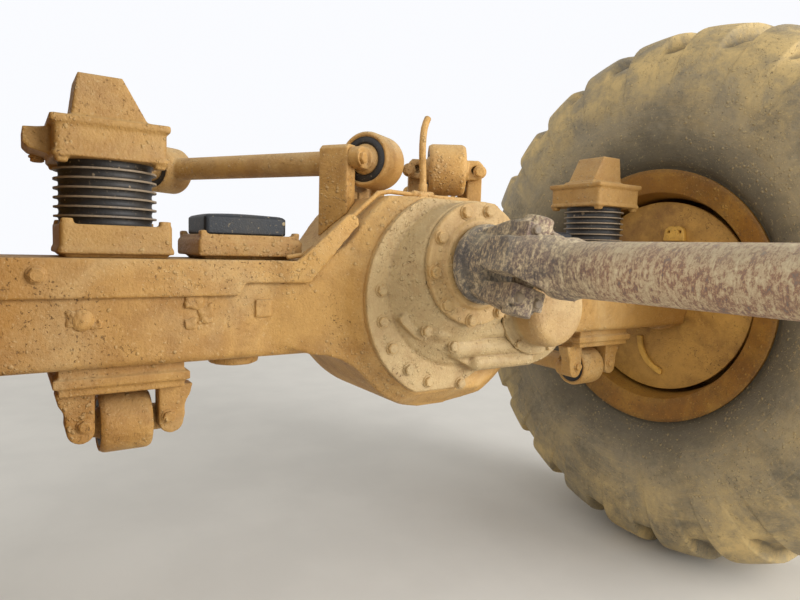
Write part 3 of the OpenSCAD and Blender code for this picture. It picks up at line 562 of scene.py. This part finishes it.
def slot_of(node):
    """The record's material slot of a CAD node."""
    return next(row["material_slot"] for row in frame["record"]["subparts"] if row["node"] == node)


def body_of(node):
    """The body that a CAD node moves with."""
    return frame["nodes"][node]["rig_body"]


def mesh_of(shape, name):
    """A mesh from a bmesh, which is freed."""
    mesh = bpy.data.meshes.new(name)
    shape.to_mesh(mesh)
    shape.free()
    return mesh


def modify(piece, kind, **settings):
    """Adds a modifier with its settings."""
    modifier = piece.modifiers.new(kind.lower(), kind)
    for key, value in settings.items():
        setattr(modifier, key, value)


def new_piece(name, mesh, slot):
    """An object for a finished mesh, with its material."""
    mesh.materials.clear()
    mesh.materials.append(bpy.data.materials[slot + "_finish"])
    piece = bpy.data.objects.new(name, mesh)
    bpy.context.scene.collection.objects.link(piece)
    return piece


def welded(node, name):
    """A copy of a CAD node's mesh with its triangles joined."""
    mesh = frame["nodes"][node].data.copy()
    shape = bmesh.new()
    shape.from_mesh(mesh)
    bmesh.ops.remove_doubles(shape, verts=shape.verts, dist=1e-5)
    shape.to_mesh(mesh)
    shape.free()
    return new_piece(name, mesh, slot_of(node))


def finished(piece):
    """Turns a piece's modifiers into a plain mesh."""
    seen = piece.evaluated_get(bpy.context.evaluated_depsgraph_get())
    mesh = bpy.data.meshes.new_from_object(seen)
    mesh.name = piece.name
    piece.modifiers.clear()
    piece.data = mesh
    return piece


def joined(name, pieces, slot):
    """One piece from several, which are taken away."""
    shape = bmesh.new()
    for piece in pieces:
        shape.from_mesh(piece.data)
        bpy.data.objects.remove(piece)
    return new_piece(name, mesh_of(shape, name), slot)


def smooth(low, high, value):
    """Goes smoothly from 0 to 1 between two values."""
    share = min(1.0, max(0.0, (value - low) / (high - low)))
    return share * share * (3 - 2 * share)


def along(points, station):
    """A smooth curve through points. A station of 2.5 lies halfway from point 2 to point 3."""
    last = len(points) - 1
    i = min(int(station), last - 1)
    t = station - i
    before, here, there, after = (points[min(last, max(0, k))] for k in (i - 1, i, i + 1, i + 2))
    return tuple(
        b + t * (0.5 * (c - a) + t * ((a - 2.5 * b + 2 * c - 0.5 * d) + t * (1.5 * (b - c) + 0.5 * (d - a))))
        for a, b, c, d in zip(before, here, there, after))


def hand_over(piece, body, slot, *nodes, sharp_angle=180):
    """Makes a finished piece ride on its body, and stand for the nodes that it replaces.

    It is shaded smooth, but for edges that bend by more than an angle in degrees.
    """
    piece.data.shade_smooth()
    if sharp_angle < 180:
        piece.data.set_sharp_from_angle(angle=math.radians(sharp_angle))
    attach(piece, body)
    if nodes:
        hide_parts(*nodes)


def cast(node, grid):
    """A casting or forging: the CAD solid with every edge and corner rounded on a fine grid."""
    piece = welded(node, node + "_cast")
    modify(piece, "REMESH", mode="VOXEL", voxel_size=grid)
    modify(piece, "SMOOTH", factor=0.5, iterations=2)
    modify(piece, "DECIMATE", ratio=sizes().kept_faces)
    hand_over(finished(piece), body_of(node), slot_of(node), node)


def turned(node):
    """A turned piece: the CAD solid with its sharp edges broken and its round faces smooth."""
    piece = welded(node, node + "_turned")
    modify(piece, "BEVEL", width=sizes().edge, segments=2, limit_method="ANGLE", angle_limit=math.radians(30))
    hand_over(finished(piece), body_of(node), slot_of(node), node, sharp_angle=28)


def swept(name, rings, slot):
    """A piece through rings of places, each joined to the next and the last to the first."""
    shape = bmesh.new()
    rows = [[shape.verts.new(place) for place in ring] for ring in rings]
    for here, there in zip(rows, rows[1:] + rows[:1]):
        for i in range(len(here)):
            j = (i + 1) % len(here)
            shape.faces.new((here[i], there[i], there[j], here[j]))
    bmesh.ops.recalc_face_normals(shape, faces=shape.faces)
    return new_piece(name, mesh_of(shape, name), slot)


def lathe(name, outline, axis, centre, slot, steps=96):
    """A turned piece about the given axis, from [radius, place along it] pairs in order round its wall."""
    rings = []
    for k in range(steps):
        turn = math.tau * k / steps
        ring = []
        for radius, far in outline:
            a, b = radius * math.cos(turn), radius * math.sin(turn)
            place = {"X": (far, a, b), "Y": (a, far, b), "Z": (a, b, far)}[axis]
            ring.append(Vector(place) + Vector(centre))
        rings.append(ring)
    return swept(name, rings, slot)


def rough_block(name, low, high, slot, round_by, rough_by, seed):
    """A small piece with round edges whose skin is uneven, between two corners about the wheel axis."""
    shape = bmesh.new()
    bmesh.ops.create_cube(shape, size=1)
    size = Vector(high) - Vector(low)
    for vertex in shape.verts:
        vertex.co = Vector(low) + size * (vertex.co + Vector((0.5, 0.5, 0.5)))
        vertex.co.z += AXLE_Z
    piece = new_piece(name, mesh_of(shape, name), slot)
    modify(piece, "BEVEL", width=round_by, segments=4)
    modify(piece, "REMESH", mode="VOXEL", voxel_size=0.0015)
    finished(piece)
    for vertex in piece.data.vertices:
        shift = noise_vector(vertex.co * 70 + Vector((seed, 0, 0))) + 0.35 * noise_vector(vertex.co * 260)
        vertex.co += rough_by * shift
    modify(piece, "SMOOTH", factor=0.5, iterations=2)
    hand_over(finished(piece), "axle", slot)


# Bolts


def build_bolt_tree():
    """Geometry Nodes that put a chamfered hexagon head and its washer on every point."""
    tree = bpy.data.node_groups.new("bolts", "GeometryNodeTree")
    sockets = (
        ("Geometry", "Geometry"), ("Head height", "Float"), ("Washer", "Float"), ("Seed", "Int"),
        ("Material", "Material"))
    for label, kind in sockets:
        tree.interface.new_socket(label, in_out="INPUT", socket_type="NodeSocket" + kind)
    tree.interface.new_socket("Geometry", in_out="OUTPUT", socket_type="NodeSocketGeometry")
    given = add(tree, "NodeGroupInput").outputs

    def lifted(mesh, height):
        """Moves a mesh up along the bolt."""
        lift = add(tree, "ShaderNodeCombineXYZ", {"Z": height}).outputs["Vector"]
        return add(tree, "GeometryNodeTransform", {"Geometry": mesh, "Translation": lift}).outputs["Geometry"]

    tall = given["Head height"]
    hexagon = add(tree, "GeometryNodeMeshCylinder", {
        "Vertices": 6, "Radius": 1.0, "Depth": tall}).outputs["Mesh"]
    crown = add(tree, "GeometryNodeMeshCone", {
        "Vertices": 24, "Radius Bottom": 0.84, "Radius Top": 0.7, "Depth": 0.08}).outputs["Mesh"]
    washer = add(tree, "GeometryNodeMeshCylinder", {
        "Vertices": 32, "Radius": given["Washer"], "Depth": 0.4}).outputs["Mesh"]
    whole = add(tree, "GeometryNodeJoinGeometry")
    for part in (lifted(hexagon, times(tall, 0.5)), lifted(crown, tall), washer):
        tree.links.new(part, whole.inputs["Geometry"])
    facing = add(tree, "GeometryNodeInputNamedAttribute", {"Name": "facing"}, data_type="FLOAT_VECTOR")
    size = add(tree, "GeometryNodeInputNamedAttribute", {"Name": "size"}, data_type="FLOAT")
    stand = add(tree, "FunctionNodeAlignRotationToVector", {"Vector": facing.outputs["Attribute"]}, axis="Z")
    turn = add(tree, "FunctionNodeRandomValue", {2: 0.0, 3: math.tau, 8: given["Seed"]}, data_type="FLOAT")
    spin = add(tree, "FunctionNodeAxisAngleToRotation", {"Axis": (0, 0, 1), "Angle": turn.outputs[1]})
    both = add(tree, "FunctionNodeRotateRotation", {
        "Rotation": stand.outputs["Rotation"], "Rotate By": spin.outputs["Rotation"]}, rotation_space="LOCAL")
    placed = add(tree, "GeometryNodeInstanceOnPoints", {
        "Points": given["Geometry"], "Instance": whole.outputs["Geometry"],
        "Rotation": both.outputs["Rotation"], "Scale": size.outputs["Attribute"]})
    real = add(tree, "GeometryNodeRealizeInstances", {"Geometry": placed.outputs["Instances"]})
    painted = add(tree, "GeometryNodeSetMaterial", {
        "Geometry": real.outputs["Geometry"], "Material": given["Material"]})
    add(tree, "NodeGroupOutput", {"Geometry": painted.outputs["Geometry"]})


def bolts(name, body, slot, rows, washer=1.22, seed=1):
    """Bolt heads in one mesh. A row has a place about the wheel axis, the way it faces, and a radius."""
    mesh = bpy.data.meshes.new(name)
    mesh.from_pydata([(x, y, z + AXLE_Z) for (x, y, z), facing, size in rows], [], [])
    facing = mesh.attributes.new("facing", "FLOAT_VECTOR", "POINT")
    facing.data.foreach_set("vector", [c for row in rows for c in row[1]])
    size = mesh.attributes.new("size", "FLOAT", "POINT")
    size.data.foreach_set("value", [row[2] for row in rows])
    piece = new_piece(name, mesh, slot)
    nodes = piece.modifiers.new("bolts", "NODES")
    nodes.node_group = bpy.data.node_groups["bolts"]
    values = {
        "Head height": sizes().bolt_height, "Washer": washer, "Seed": seed,
        "Material": bpy.data.materials[slot + "_finish"]}
    for item in nodes.node_group.interface.items_tree:
        if item.name in values:
            nodes[item.identifier] = values[item.name]
    modify(piece, "BEVEL", width=0.0008, segments=2)
    hand_over(finished(piece), body, slot, sharp_angle=25)


def circle(centre, radius, angles, facing, size):
    """Bolt rows on a circle about X or Y. Angles in degrees go from Y (or X) up towards Z."""
    rows = []
    for angle in angles:
        across, up = radius * math.cos(math.radians(angle)), radius * math.sin(math.radians(angle))
        shift = (0, across, up) if facing[0] else (across, 0, up)
        rows.append((tuple(c + d for c, d in zip(centre, shift)), facing, size))
    return rows


# Operators


class AXLE_OT_finishes(bpy.types.Operator):
    """Builds the shared effects and one material for each of the record's slots"""

    bl_idname = "axle.finishes"
    bl_label = "Finishes"

    def execute(self, context):
        for build in (
                build_mottle, build_dust, build_edges, build_grain, build_splatter, build_grime, build_crust,
                build_wheel_place):
            build()
        hue = context.scene.axle_colours
        shade, dust, steel = hue.paint_shade, hue.dust, hue.steel_dust
        # After the colours: shares of lying dust, dusty patches and mud drops, and the scale of the stains
        paint_material("axle_paint", hue.paint, shade, dust, 0.35, 0.4, 0.5)
        # The seats' paint and dust are the beam's, darkened as painted shade
        paint_material("seat_paint", scaled(hue.paint, 0.8), shade, scaled(dust, 0.85), 0.25, 0.3, 0.3, 5.0)
        paint_material("wheel_paint", hue.wheel_paint, hue.wheel_shade, hue.wheel_dust, 0.15, 0.35, 0.25, 4.0)
        paint_material("pipe_steel", hue.paint, shade, dust, 0.3, 0.3, 0.2, 14.0)
        paint_material("plate_steel", scaled(steel, 0.7), hue.rust, steel, 0.3, 0.3, 0.2, 14.0)
        steel_material()
        rubber_material("spring_rubber", hue.rubber, steel, 0.03, 0.05, 0.05, 12.0, 0.25)
        rubber_material("stop_rubber", hue.stop, dust, 0.0, 0.03, 0.05, 9.0, 0.3)
        tyre_material()
        return {"FINISHED"}


class AXLE_OT_stage(bpy.types.Operator):
    """Sets up the floor, the soft light and the camera at the photograph's viewpoint"""

    bl_idname = "axle.stage"
    bl_label = "Stage"

    def execute(self, context):
        studio = context.scene.axle_studio
        self.make_camera(context, studio)
        self.make_floor()
        self.make_light(context, studio)
        return {"FINISHED"}

    def make_camera(self, context, studio):
        yaw, pitch, roll = studio.camera_yaw, studio.camera_pitch, studio.camera_roll
        ahead = Vector((-math.cos(yaw) * math.cos(pitch), math.sin(yaw) * math.cos(pitch), -math.sin(pitch)))
        level = ahead.cross(Vector((0, 0, 1))).normalized()
        right = math.cos(roll) * level + math.sin(roll) * ahead.cross(level)
        down = ahead.cross(right)
        turn = Matrix((right, -down, -ahead)).transposed()
        data = bpy.data.cameras.new("camera")
        data.sensor_width = 36
        data.lens = studio.focal_pixels * data.sensor_width / 800
        data.clip_start = 0.01
        camera = bpy.data.objects.new("camera", data)
        place = Vector(studio.camera_place) + Vector((0, 0, AXLE_Z))
        camera.matrix_world = Matrix.Translation(place) @ turn.to_4x4()
        context.scene.collection.objects.link(camera)
        context.scene.camera = camera

    def make_floor(self):
        tree, shader = new_material("floor")
        tone = remap(noise(place_of(tree), 3.0, 4), 0.3, 0.7)
        base = mix(tone, colours().floor, scaled(colours().floor, 0.94))
        feed(shader, {"Base Color": base, "Roughness": 0.9})
        shape = bmesh.new()
        bmesh.ops.create_grid(shape, x_segments=1, y_segments=1, size=40)
        mesh = mesh_of(shape, "floor")
        mesh.transform(Matrix.Translation((0, 0, FLOOR_Z)))
        new_piece("floor", mesh, "floor")

    def make_light(self, context, studio):
        world = bpy.data.worlds.new("studio")
        world.use_nodes = True
        context.scene.world = world
        context.scene.view_settings.view_transform = "Standard"
        tree = world.node_tree
        path = add(tree, "ShaderNodeLightPath").outputs
        shown = math_node("MAXIMUM", path["Is Camera Ray"], path["Is Glossy Ray"])
        shown = math_node("MAXIMUM", shown, path["Is Transmission Ray"])
        feed(tree.nodes["Background"], {
            "Color": mix(shown, (1, 0.985, 0.96), (0.96, 0.97, 1)),
            "Strength": remap(shown, 0.0, 1.0, studio.sky_strength, 1.0)})
        lamps = (
            ("key", studio.key_power, 4.0, (5.5, 3.7, 1.35), (0.1, 0.1, -0.35)),
            ("fill", studio.fill_power, 5.6, (4.3, -5.5, 2.7), (0.1, 0.3, -0.3)),
        )
        for name, power, size, place, target in lamps:
            data = bpy.data.lights.new(name, "AREA")
            data.energy = power
            data.size = size
            lamp = bpy.data.objects.new(name, data)
            lamp.location = place
            lamp.rotation_euler = (Vector(target) - Vector(place)).to_track_quat("-Z", "Y").to_euler()
            context.scene.collection.objects.link(lamp)


class AXLE_OT_castings(bpy.types.Operator):
    """Rounds the housing, gear carrier, seats, brackets and rods as castings"""

    bl_idname = "axle.castings"
    bl_label = "Castings"

    def execute(self, context):
        cast("housing", sizes().housing_grid)
        single = ("carrier", "input_cover", "bearing_cover", "rear_case", "rod_bracket", "pipes")
        paired = (
            "link_bracket", "upper_rod", "lower_link", "guard", "lower_seat", "upper_seat", "stop_tray",
            "brake_arm")
        for node in single + tuple(f"{piece}_{side}" for piece in paired for side in SIDES):
            cast(node, sizes().cast_grid)
        return {"FINISHED"}


class AXLE_OT_drive_line(bpy.types.Operator):
    """Rounds the yokes, crosses and shaft of the drive line as forgings"""

    bl_idname = "axle.drive_line"
    bl_label = "Drive line"

    def execute(self, context):
        for node in (
                "input_yoke", "rear_cross", "shaft", "slip_yoke", "front_cross", "front_yoke", "output_yoke"):
            cast(node, sizes().forged_grid)
        return {"FINISHED"}


class AXLE_OT_springs(bpy.types.Operator):
    """Makes the bonded rubber layers of the springs, their steel plates and the bump stops"""

    bl_idname = "axle.springs"
    bl_label = "Springs and stops"

    def execute(self, context):
        for side in SIDES:
            self.make_rubber(side)
            turned(f"spring_plates_{side}")
            self.make_stop(side)
        self.make_bushes()
        return {"FINISHED"}

    def make_bushes(self):
        """Rubber rings in the grooves round the pins of the rods' eyes."""
        # Front eye about the wheel axis, turn about Z in degrees, length and eye radius of the left rods
        rods = (((0, 0.098, 0.307), -32, 0.6, 0.058), ((0, 0.594, -0.19), 0, 0.64, 0.052))
        profile = ((0.54, 0.034), (0.82, 0.034), (0.81, 0.038), (0.74, 0.0405), (0.61, 0.0405), (0.55, 0.038))
        rings = []
        for hand in (1, -1):
            for (x, y, z), turn, length, reach in rods:
                rod = Matrix.Translation((x, hand * y, z + AXLE_Z)) @ Matrix.Rotation(
                    math.radians(turn * hand), 4, "Z")
                for eye in (0, -length):
                    for end in (1, -1):
                        outline = [(reach * share, end * place) for share, place in profile]
                        ring = lathe("ring", outline, "Y", (0, 0, 0), "spring_rubber", 48)
                        ring.data.transform(rod @ Matrix.Translation((eye, 0, 0)))
                        rings.append(ring)
        piece = joined("eye_bushes", rings, "spring_rubber")
        hand_over(piece, "axle", "spring_rubber", sharp_angle=35)

    def make_rubber(self, side):
        """Layers that are drawn in between the plates, as bonded rubber is under load."""
        low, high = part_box(f"spring_{side}")
        centre = (low + high) / 2
        layers = sizes().rubber_layers
        plate = sizes().spring_plate
        thick = (high.z - low.z - plate * (layers - 1)) / layers
        radius = (high.x - low.x) / 2
        discs = []
        for layer in range(layers):
            foot = low.z + layer * (thick + plate)
            outline = [(0.05, foot), (radius, foot)]
            for step in range(1, 12):
                share = step / 12
                drawn = sizes().spring_waist * math.sin(math.pi * share) ** 0.6
                outline.append((radius - drawn, foot + thick * share))
            outline += [(radius, foot + thick), (0.05, foot + thick)]
            discs.append(lathe("layer", outline, "Z", (centre.x, centre.y, 0), "spring_rubber"))
        piece = joined(f"spring_{side}_rubber", discs, "spring_rubber")
        hand_over(piece, body_of(f"spring_{side}"), "spring_rubber", f"spring_{side}", sharp_angle=35)

    def make_stop(self, side):
        """A moulded block with round edges and a crown on top."""
        node = f"stop_block_{side}"
        low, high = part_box(node)
        piece = welded(node, node + "_rubber")
        modify(piece, "BEVEL", width=0.006, segments=3)
        modify(piece, "REMESH", mode="VOXEL", voxel_size=sizes().forged_grid)
        finished(piece)
        middle, half = (low + high) / 2, (high - low) / 2
        for vertex in piece.data.vertices:
            across = vertex.co - middle
            reach = (1 - (across.x / half.x) ** 2) * (1 - (across.y / half.y) ** 2)
            rise = max(0.0, (vertex.co.z - low.z) / (high.z - low.z))
            vertex.co.z -= 0.004 * rise ** 4 * (1 - max(0.0, reach))
        hand_over(piece, body_of(node), "stop_rubber", node)


class AXLE_OT_wheels(bpy.types.Operator):
    """Makes the lugged tyres, and finishes rims, hubs and brake shields"""

    bl_idname = "axle.wheels"
    bl_label = "Wheels"

    def execute(self, context):
        for side in SIDES:
            for piece in ("rim", "hub", "hub_cover", "shield"):
                turned(f"{piece}_{side}")
            self.make_tyre(side)
        turned("breather")
        return {"FINISHED"}

    def section(self, depth):
        """Half of the tyre's section, as radius and distance from its middle, cut down by a depth."""
        low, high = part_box("tyre_left")
        edge, half = (high.z - low.z) / 2, (high.y - low.y) / 2
        rim = sizes().rim_radius
        return [
            (rim - 0.057, half - 0.121), (rim - 0.049, half - 0.065), (rim + 0.001, half - 0.064),
            (rim + 0.028, half - 0.034), (rim + 0.09, half - 0.008), (rim + 0.144, half),
            (edge - 0.205, half - depth * 0.05), (edge - 0.11, half - 0.026 - depth * 0.2),
            (edge - 0.04 - depth, half - 0.082), (edge - depth - 0.004, half - 0.178), (edge - depth, 0)]

    def make_tyre(self, side):
        """A swept section whose tread rises into two staggered rows of worn lugs."""
        size = sizes()
        groove, top = self.section(size.lug_height), self.section(0)
        count = size.lugs
        phases = [
            0, 0.05, 0.1, 0.14, 0.165, 0.185, 0.2, 0.215, 0.235, 0.25, 0.265, 0.285, 0.3, 0.315, 0.335, 0.36,
            0.4, 0.45]
        phases += [0.5 + phase for phase in phases]
        stations = []
        for span in range(len(groove) - 1):
            steps = 2 if span < 2 else 4
            stations += [span + i / steps for i in range(steps)]
        stations.append(len(groove) - 1)
        line = [(station, 1) for station in stations] + [(station, -1) for station in reversed(stations[:-1])]
        low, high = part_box(f"tyre_{side}")
        middle = (low + high) / 2
        out = 1 if side == "left" else -1
        rings = []
        for lug in range(count):
            for phase in phases:
                turn = math.tau * (lug + phase) / count
                ring = []
                for station, hand in line:
                    low_r, low_y = along(groove, station)
                    top_r, top_y = along(top, station)
                    share = self.lug_share(phase, hand * low_y)
                    r = low_r + (top_r - low_r) * share
                    y = hand * (low_y + (top_y - low_y) * share + self.ring_rise(r))
                    place = (r * math.cos(turn), out * y, r * math.sin(turn))
                    ring.append(middle + Vector(place))
                rings.append(ring)
        piece = swept(f"tyre_{side}_rubber", rings, "tyre_rubber")
        hand_over(piece, body_of(f"tyre_{side}"), "tyre_rubber", f"tyre_{side}")

    def lug_share(self, phase, y):
        """How far the tread is raised at a share of the pitch: one row on each side, half a pitch apart."""
        best = 0.0
        for row in (1, -1):
            reach = smooth(-0.03, -0.008, row * y)
            centre = 0.0 if row > 0 else 0.5
            centre += 0.1 * (1 - min(1, abs(y) / 0.16)) * row
            away = abs((phase - centre + 0.5) % 1 - 0.5)
            best = max(best, reach * (1 - smooth(0.275, 0.325, away)))
        return best

    def ring_rise(self, r):
        """Raised rings on the sidewall."""
        rise = 0.0
        for ring, height, width in ((0.525, 0.0035, 0.007), (0.605, 0.003, 0.006), (0.43, 0.003, 0.008)):
            rise += height * (1 - smooth(0.3 * width, width, abs(r - ring)))
        return rise


class AXLE_OT_beam_details(bpy.types.Operator):
    """Adds the pads, plugs and caked mud on the beam's face"""

    bl_idname = "axle.beam_details"
    bl_label = "Beam details"

    def execute(self, context):
        face = BEAM_FACE
        seed_set(NOISE_SEED)
        for side in (-1, 1):
            y = 0.3755 * side
            rough_block(
                f"pad_{SIDES[side < 0]}", (face - 0.01, y - 0.015, -0.006), (face + 0.005, y + 0.015, 0.026),
                "axle_paint", 0.0025, 0.0004, 3 * side)
            y = 0.6656 * side
            plug = lathe(
                f"plug_{SIDES[side < 0]}",
                [(0, face - 0.01), (0.017, face - 0.01), (0.017, face + 0.002), (0.0135, face + 0.0055),
                 (0.009, face + 0.0075), (0, face + 0.008)],
                "X", (0, y, AXLE_Z), "axle_paint", 40)
            hand_over(plug, "axle", "axle_paint", sharp_angle=35)
        cakes = (
            (-0.497, 0.024, 0.016, 0.012), (-0.478, 0.004, 0.013, 0.017), (-0.503, -0.012, 0.009, 0.011),
            (-0.648, -0.008, 0.009, 0.008), (-0.681, 0.004, 0.008, 0.012), (-0.546, 0.038, 0.008, 0.006))
        for index, (y, z, wide, tall) in enumerate(cakes):
            rough_block(
                f"mud_cake_{index}", (face - 0.005, y - wide, z - tall), (face + 0.004, y + wide, z + tall),
                "axle_paint", 0.0045, 0.0042, index)
        return {"FINISHED"}


class AXLE_OT_bolts(bpy.types.Operator):
    """Sets the bolts of the gear case, covers, yokes, brackets, rods and wheels"""

    bl_idname = "axle.bolts"
    bl_label = "Bolts"

    def execute(self, context):
        build_bolt_tree()
        self.gear_case()
        self.brackets()
        self.drive_line()
        self.wheels()
        return {"FINISHED"}

    def gear_case(self):
        """Bolts of the case's flange, the input cover, the lower bearing, its foot and the rear case."""
        front, back = (1, 0, 0), (-1, 0, 0)
        rows = circle((0.18, 0, 0.03), 0.179, (175, 194, 212, 231, 249, 275), front, 0.0106)
        rows += circle(
            (0.245, 0, 0.095), 0.106, (80, 110, 151, 187, 224, 262, 301, 332, 8, 44), front, 0.0116)
        rows += circle((0.221, 0.19, 0.008), 0.0945, (188, 234, 292, 344, 36, 88, 140), front, 0.0085)
        rows += [((0.2078, -0.0928, -0.0313), front, 0.0106), ((0.2094, -0.0283, -0.0641), front, 0.0106)]
        rows += circle((-0.156, 0, 0.028), 0.157, range(0, 360, 24), back, 0.0066)
        bolts("case_bolts", "axle", "axle_paint", rows)

    def brackets(self):
        """Bolts of the upper rods' pins, and of the seats and link brackets on each side."""
        front, down = (1, 0, 0), (0, 0, -1)
        rows = [((-0.0346, 0.0181 * side, 0.3035), (0.85, -0.53 * side, 0), 0.0125) for side in (1, -1)]
        for side in (-1, 1):
            rows.append(((0.108, 0.7256 * side, 0.0706), front, 0.0118))
            rows += [((0.047, (0.594 + shift) * side, -0.181), front, 0.0105) for shift in (-0.066, 0.066)]
            rows.append(((-0.0471, 0.7145 * side, 0.2584), down, 0.0105))
            rows.append(((0.0516, 0.1561 * side, 0.3034), (0.85, -0.53 * side, 0), 0.0125))
        bolts("bracket_bolts", "axle", "axle_paint", rows, seed=2)

    def drive_line(self):
        """Bolts of the bearing blocks on both wing yokes, placed about the turned joint."""
        turn = Matrix.Rotation(JOINT_TURN, 3, "X")
        joints = (("rear", 0.374, 1, "input_yoke"), ("front", 1.374, -1, "front_yoke"))
        for name, middle, hand, node in joints:
            rows = []
            for across in (-0.022, 0.022):
                for up in (-0.06, 0.06):
                    place = Vector((middle + 0.02 * hand, 0, INPUT_UP)) + turn @ Vector((0, across, up))
                    rows.append((tuple(place), (hand, 0, 0), 0.0088))
            bolts(f"{name}_block_bolts", body_of(node), "plate_steel", rows, seed=3)

    def wheels(self):
        for side in SIDES:
            out = 1 if side == "left" else -1
            rows = circle((0, out * (WHEEL_Y + 0.064), 0), 0.258, range(0, 360, 18), (0, out, 0), 0.0165)
            bolts(f"wheel_nuts_{side}", body_of(f"rim_{side}"), "wheel_paint", rows, 1.3, 4)
            rows = circle((0, out * (WHEEL_Y + 0.1915), 0), 0.146, range(15, 375, 30), (0, out, 0), 0.0095)
            bolts(f"hub_bolts_{side}", body_of(f"hub_{side}"), "wheel_paint", rows, 1.2, 5)


class AXLE_PT_looks(bpy.types.Panel):
    """Lists the steps that dress the axle, with their settings"""

    bl_idname = "AXLE_PT_looks"
    bl_label = "Drive axle"
    bl_space_type = "VIEW_3D"
    bl_region_type = "UI"
    bl_category = "Axle"

    def draw(self, context):
        for operator in STEPS:
            self.layout.operator(operator.bl_idname)
        for settings in (context.scene.axle_sizes, context.scene.axle_colours, context.scene.axle_studio):
            box = self.layout.box()
            for name in settings.__annotations__:
                box.prop(settings, name)


STEPS = (
    AXLE_OT_finishes, AXLE_OT_stage, AXLE_OT_castings, AXLE_OT_drive_line, AXLE_OT_springs, AXLE_OT_wheels,
    AXLE_OT_beam_details, AXLE_OT_bolts)
SETTINGS = {"axle_sizes": AxleSizes, "axle_colours": AxleColours, "axle_studio": AxleStudio}
CLASSES = (*SETTINGS.values(), *STEPS, AXLE_PT_looks)


def register():
    for kind in CLASSES:
        bpy.utils.register_class(kind)
    for name, kind in SETTINGS.items():
        setattr(bpy.types.Scene, name, PointerProperty(type=kind))


def unregister():
    for name in SETTINGS:
        delattr(bpy.types.Scene, name)
    for kind in reversed(CLASSES):
        bpy.utils.unregister_class(kind)


def main():
    register()
    for operator in STEPS:
        group, name = operator.bl_idname.split(".")
        getattr(getattr(bpy.ops, group), name)()


if __name__ == "__main__":
    main()
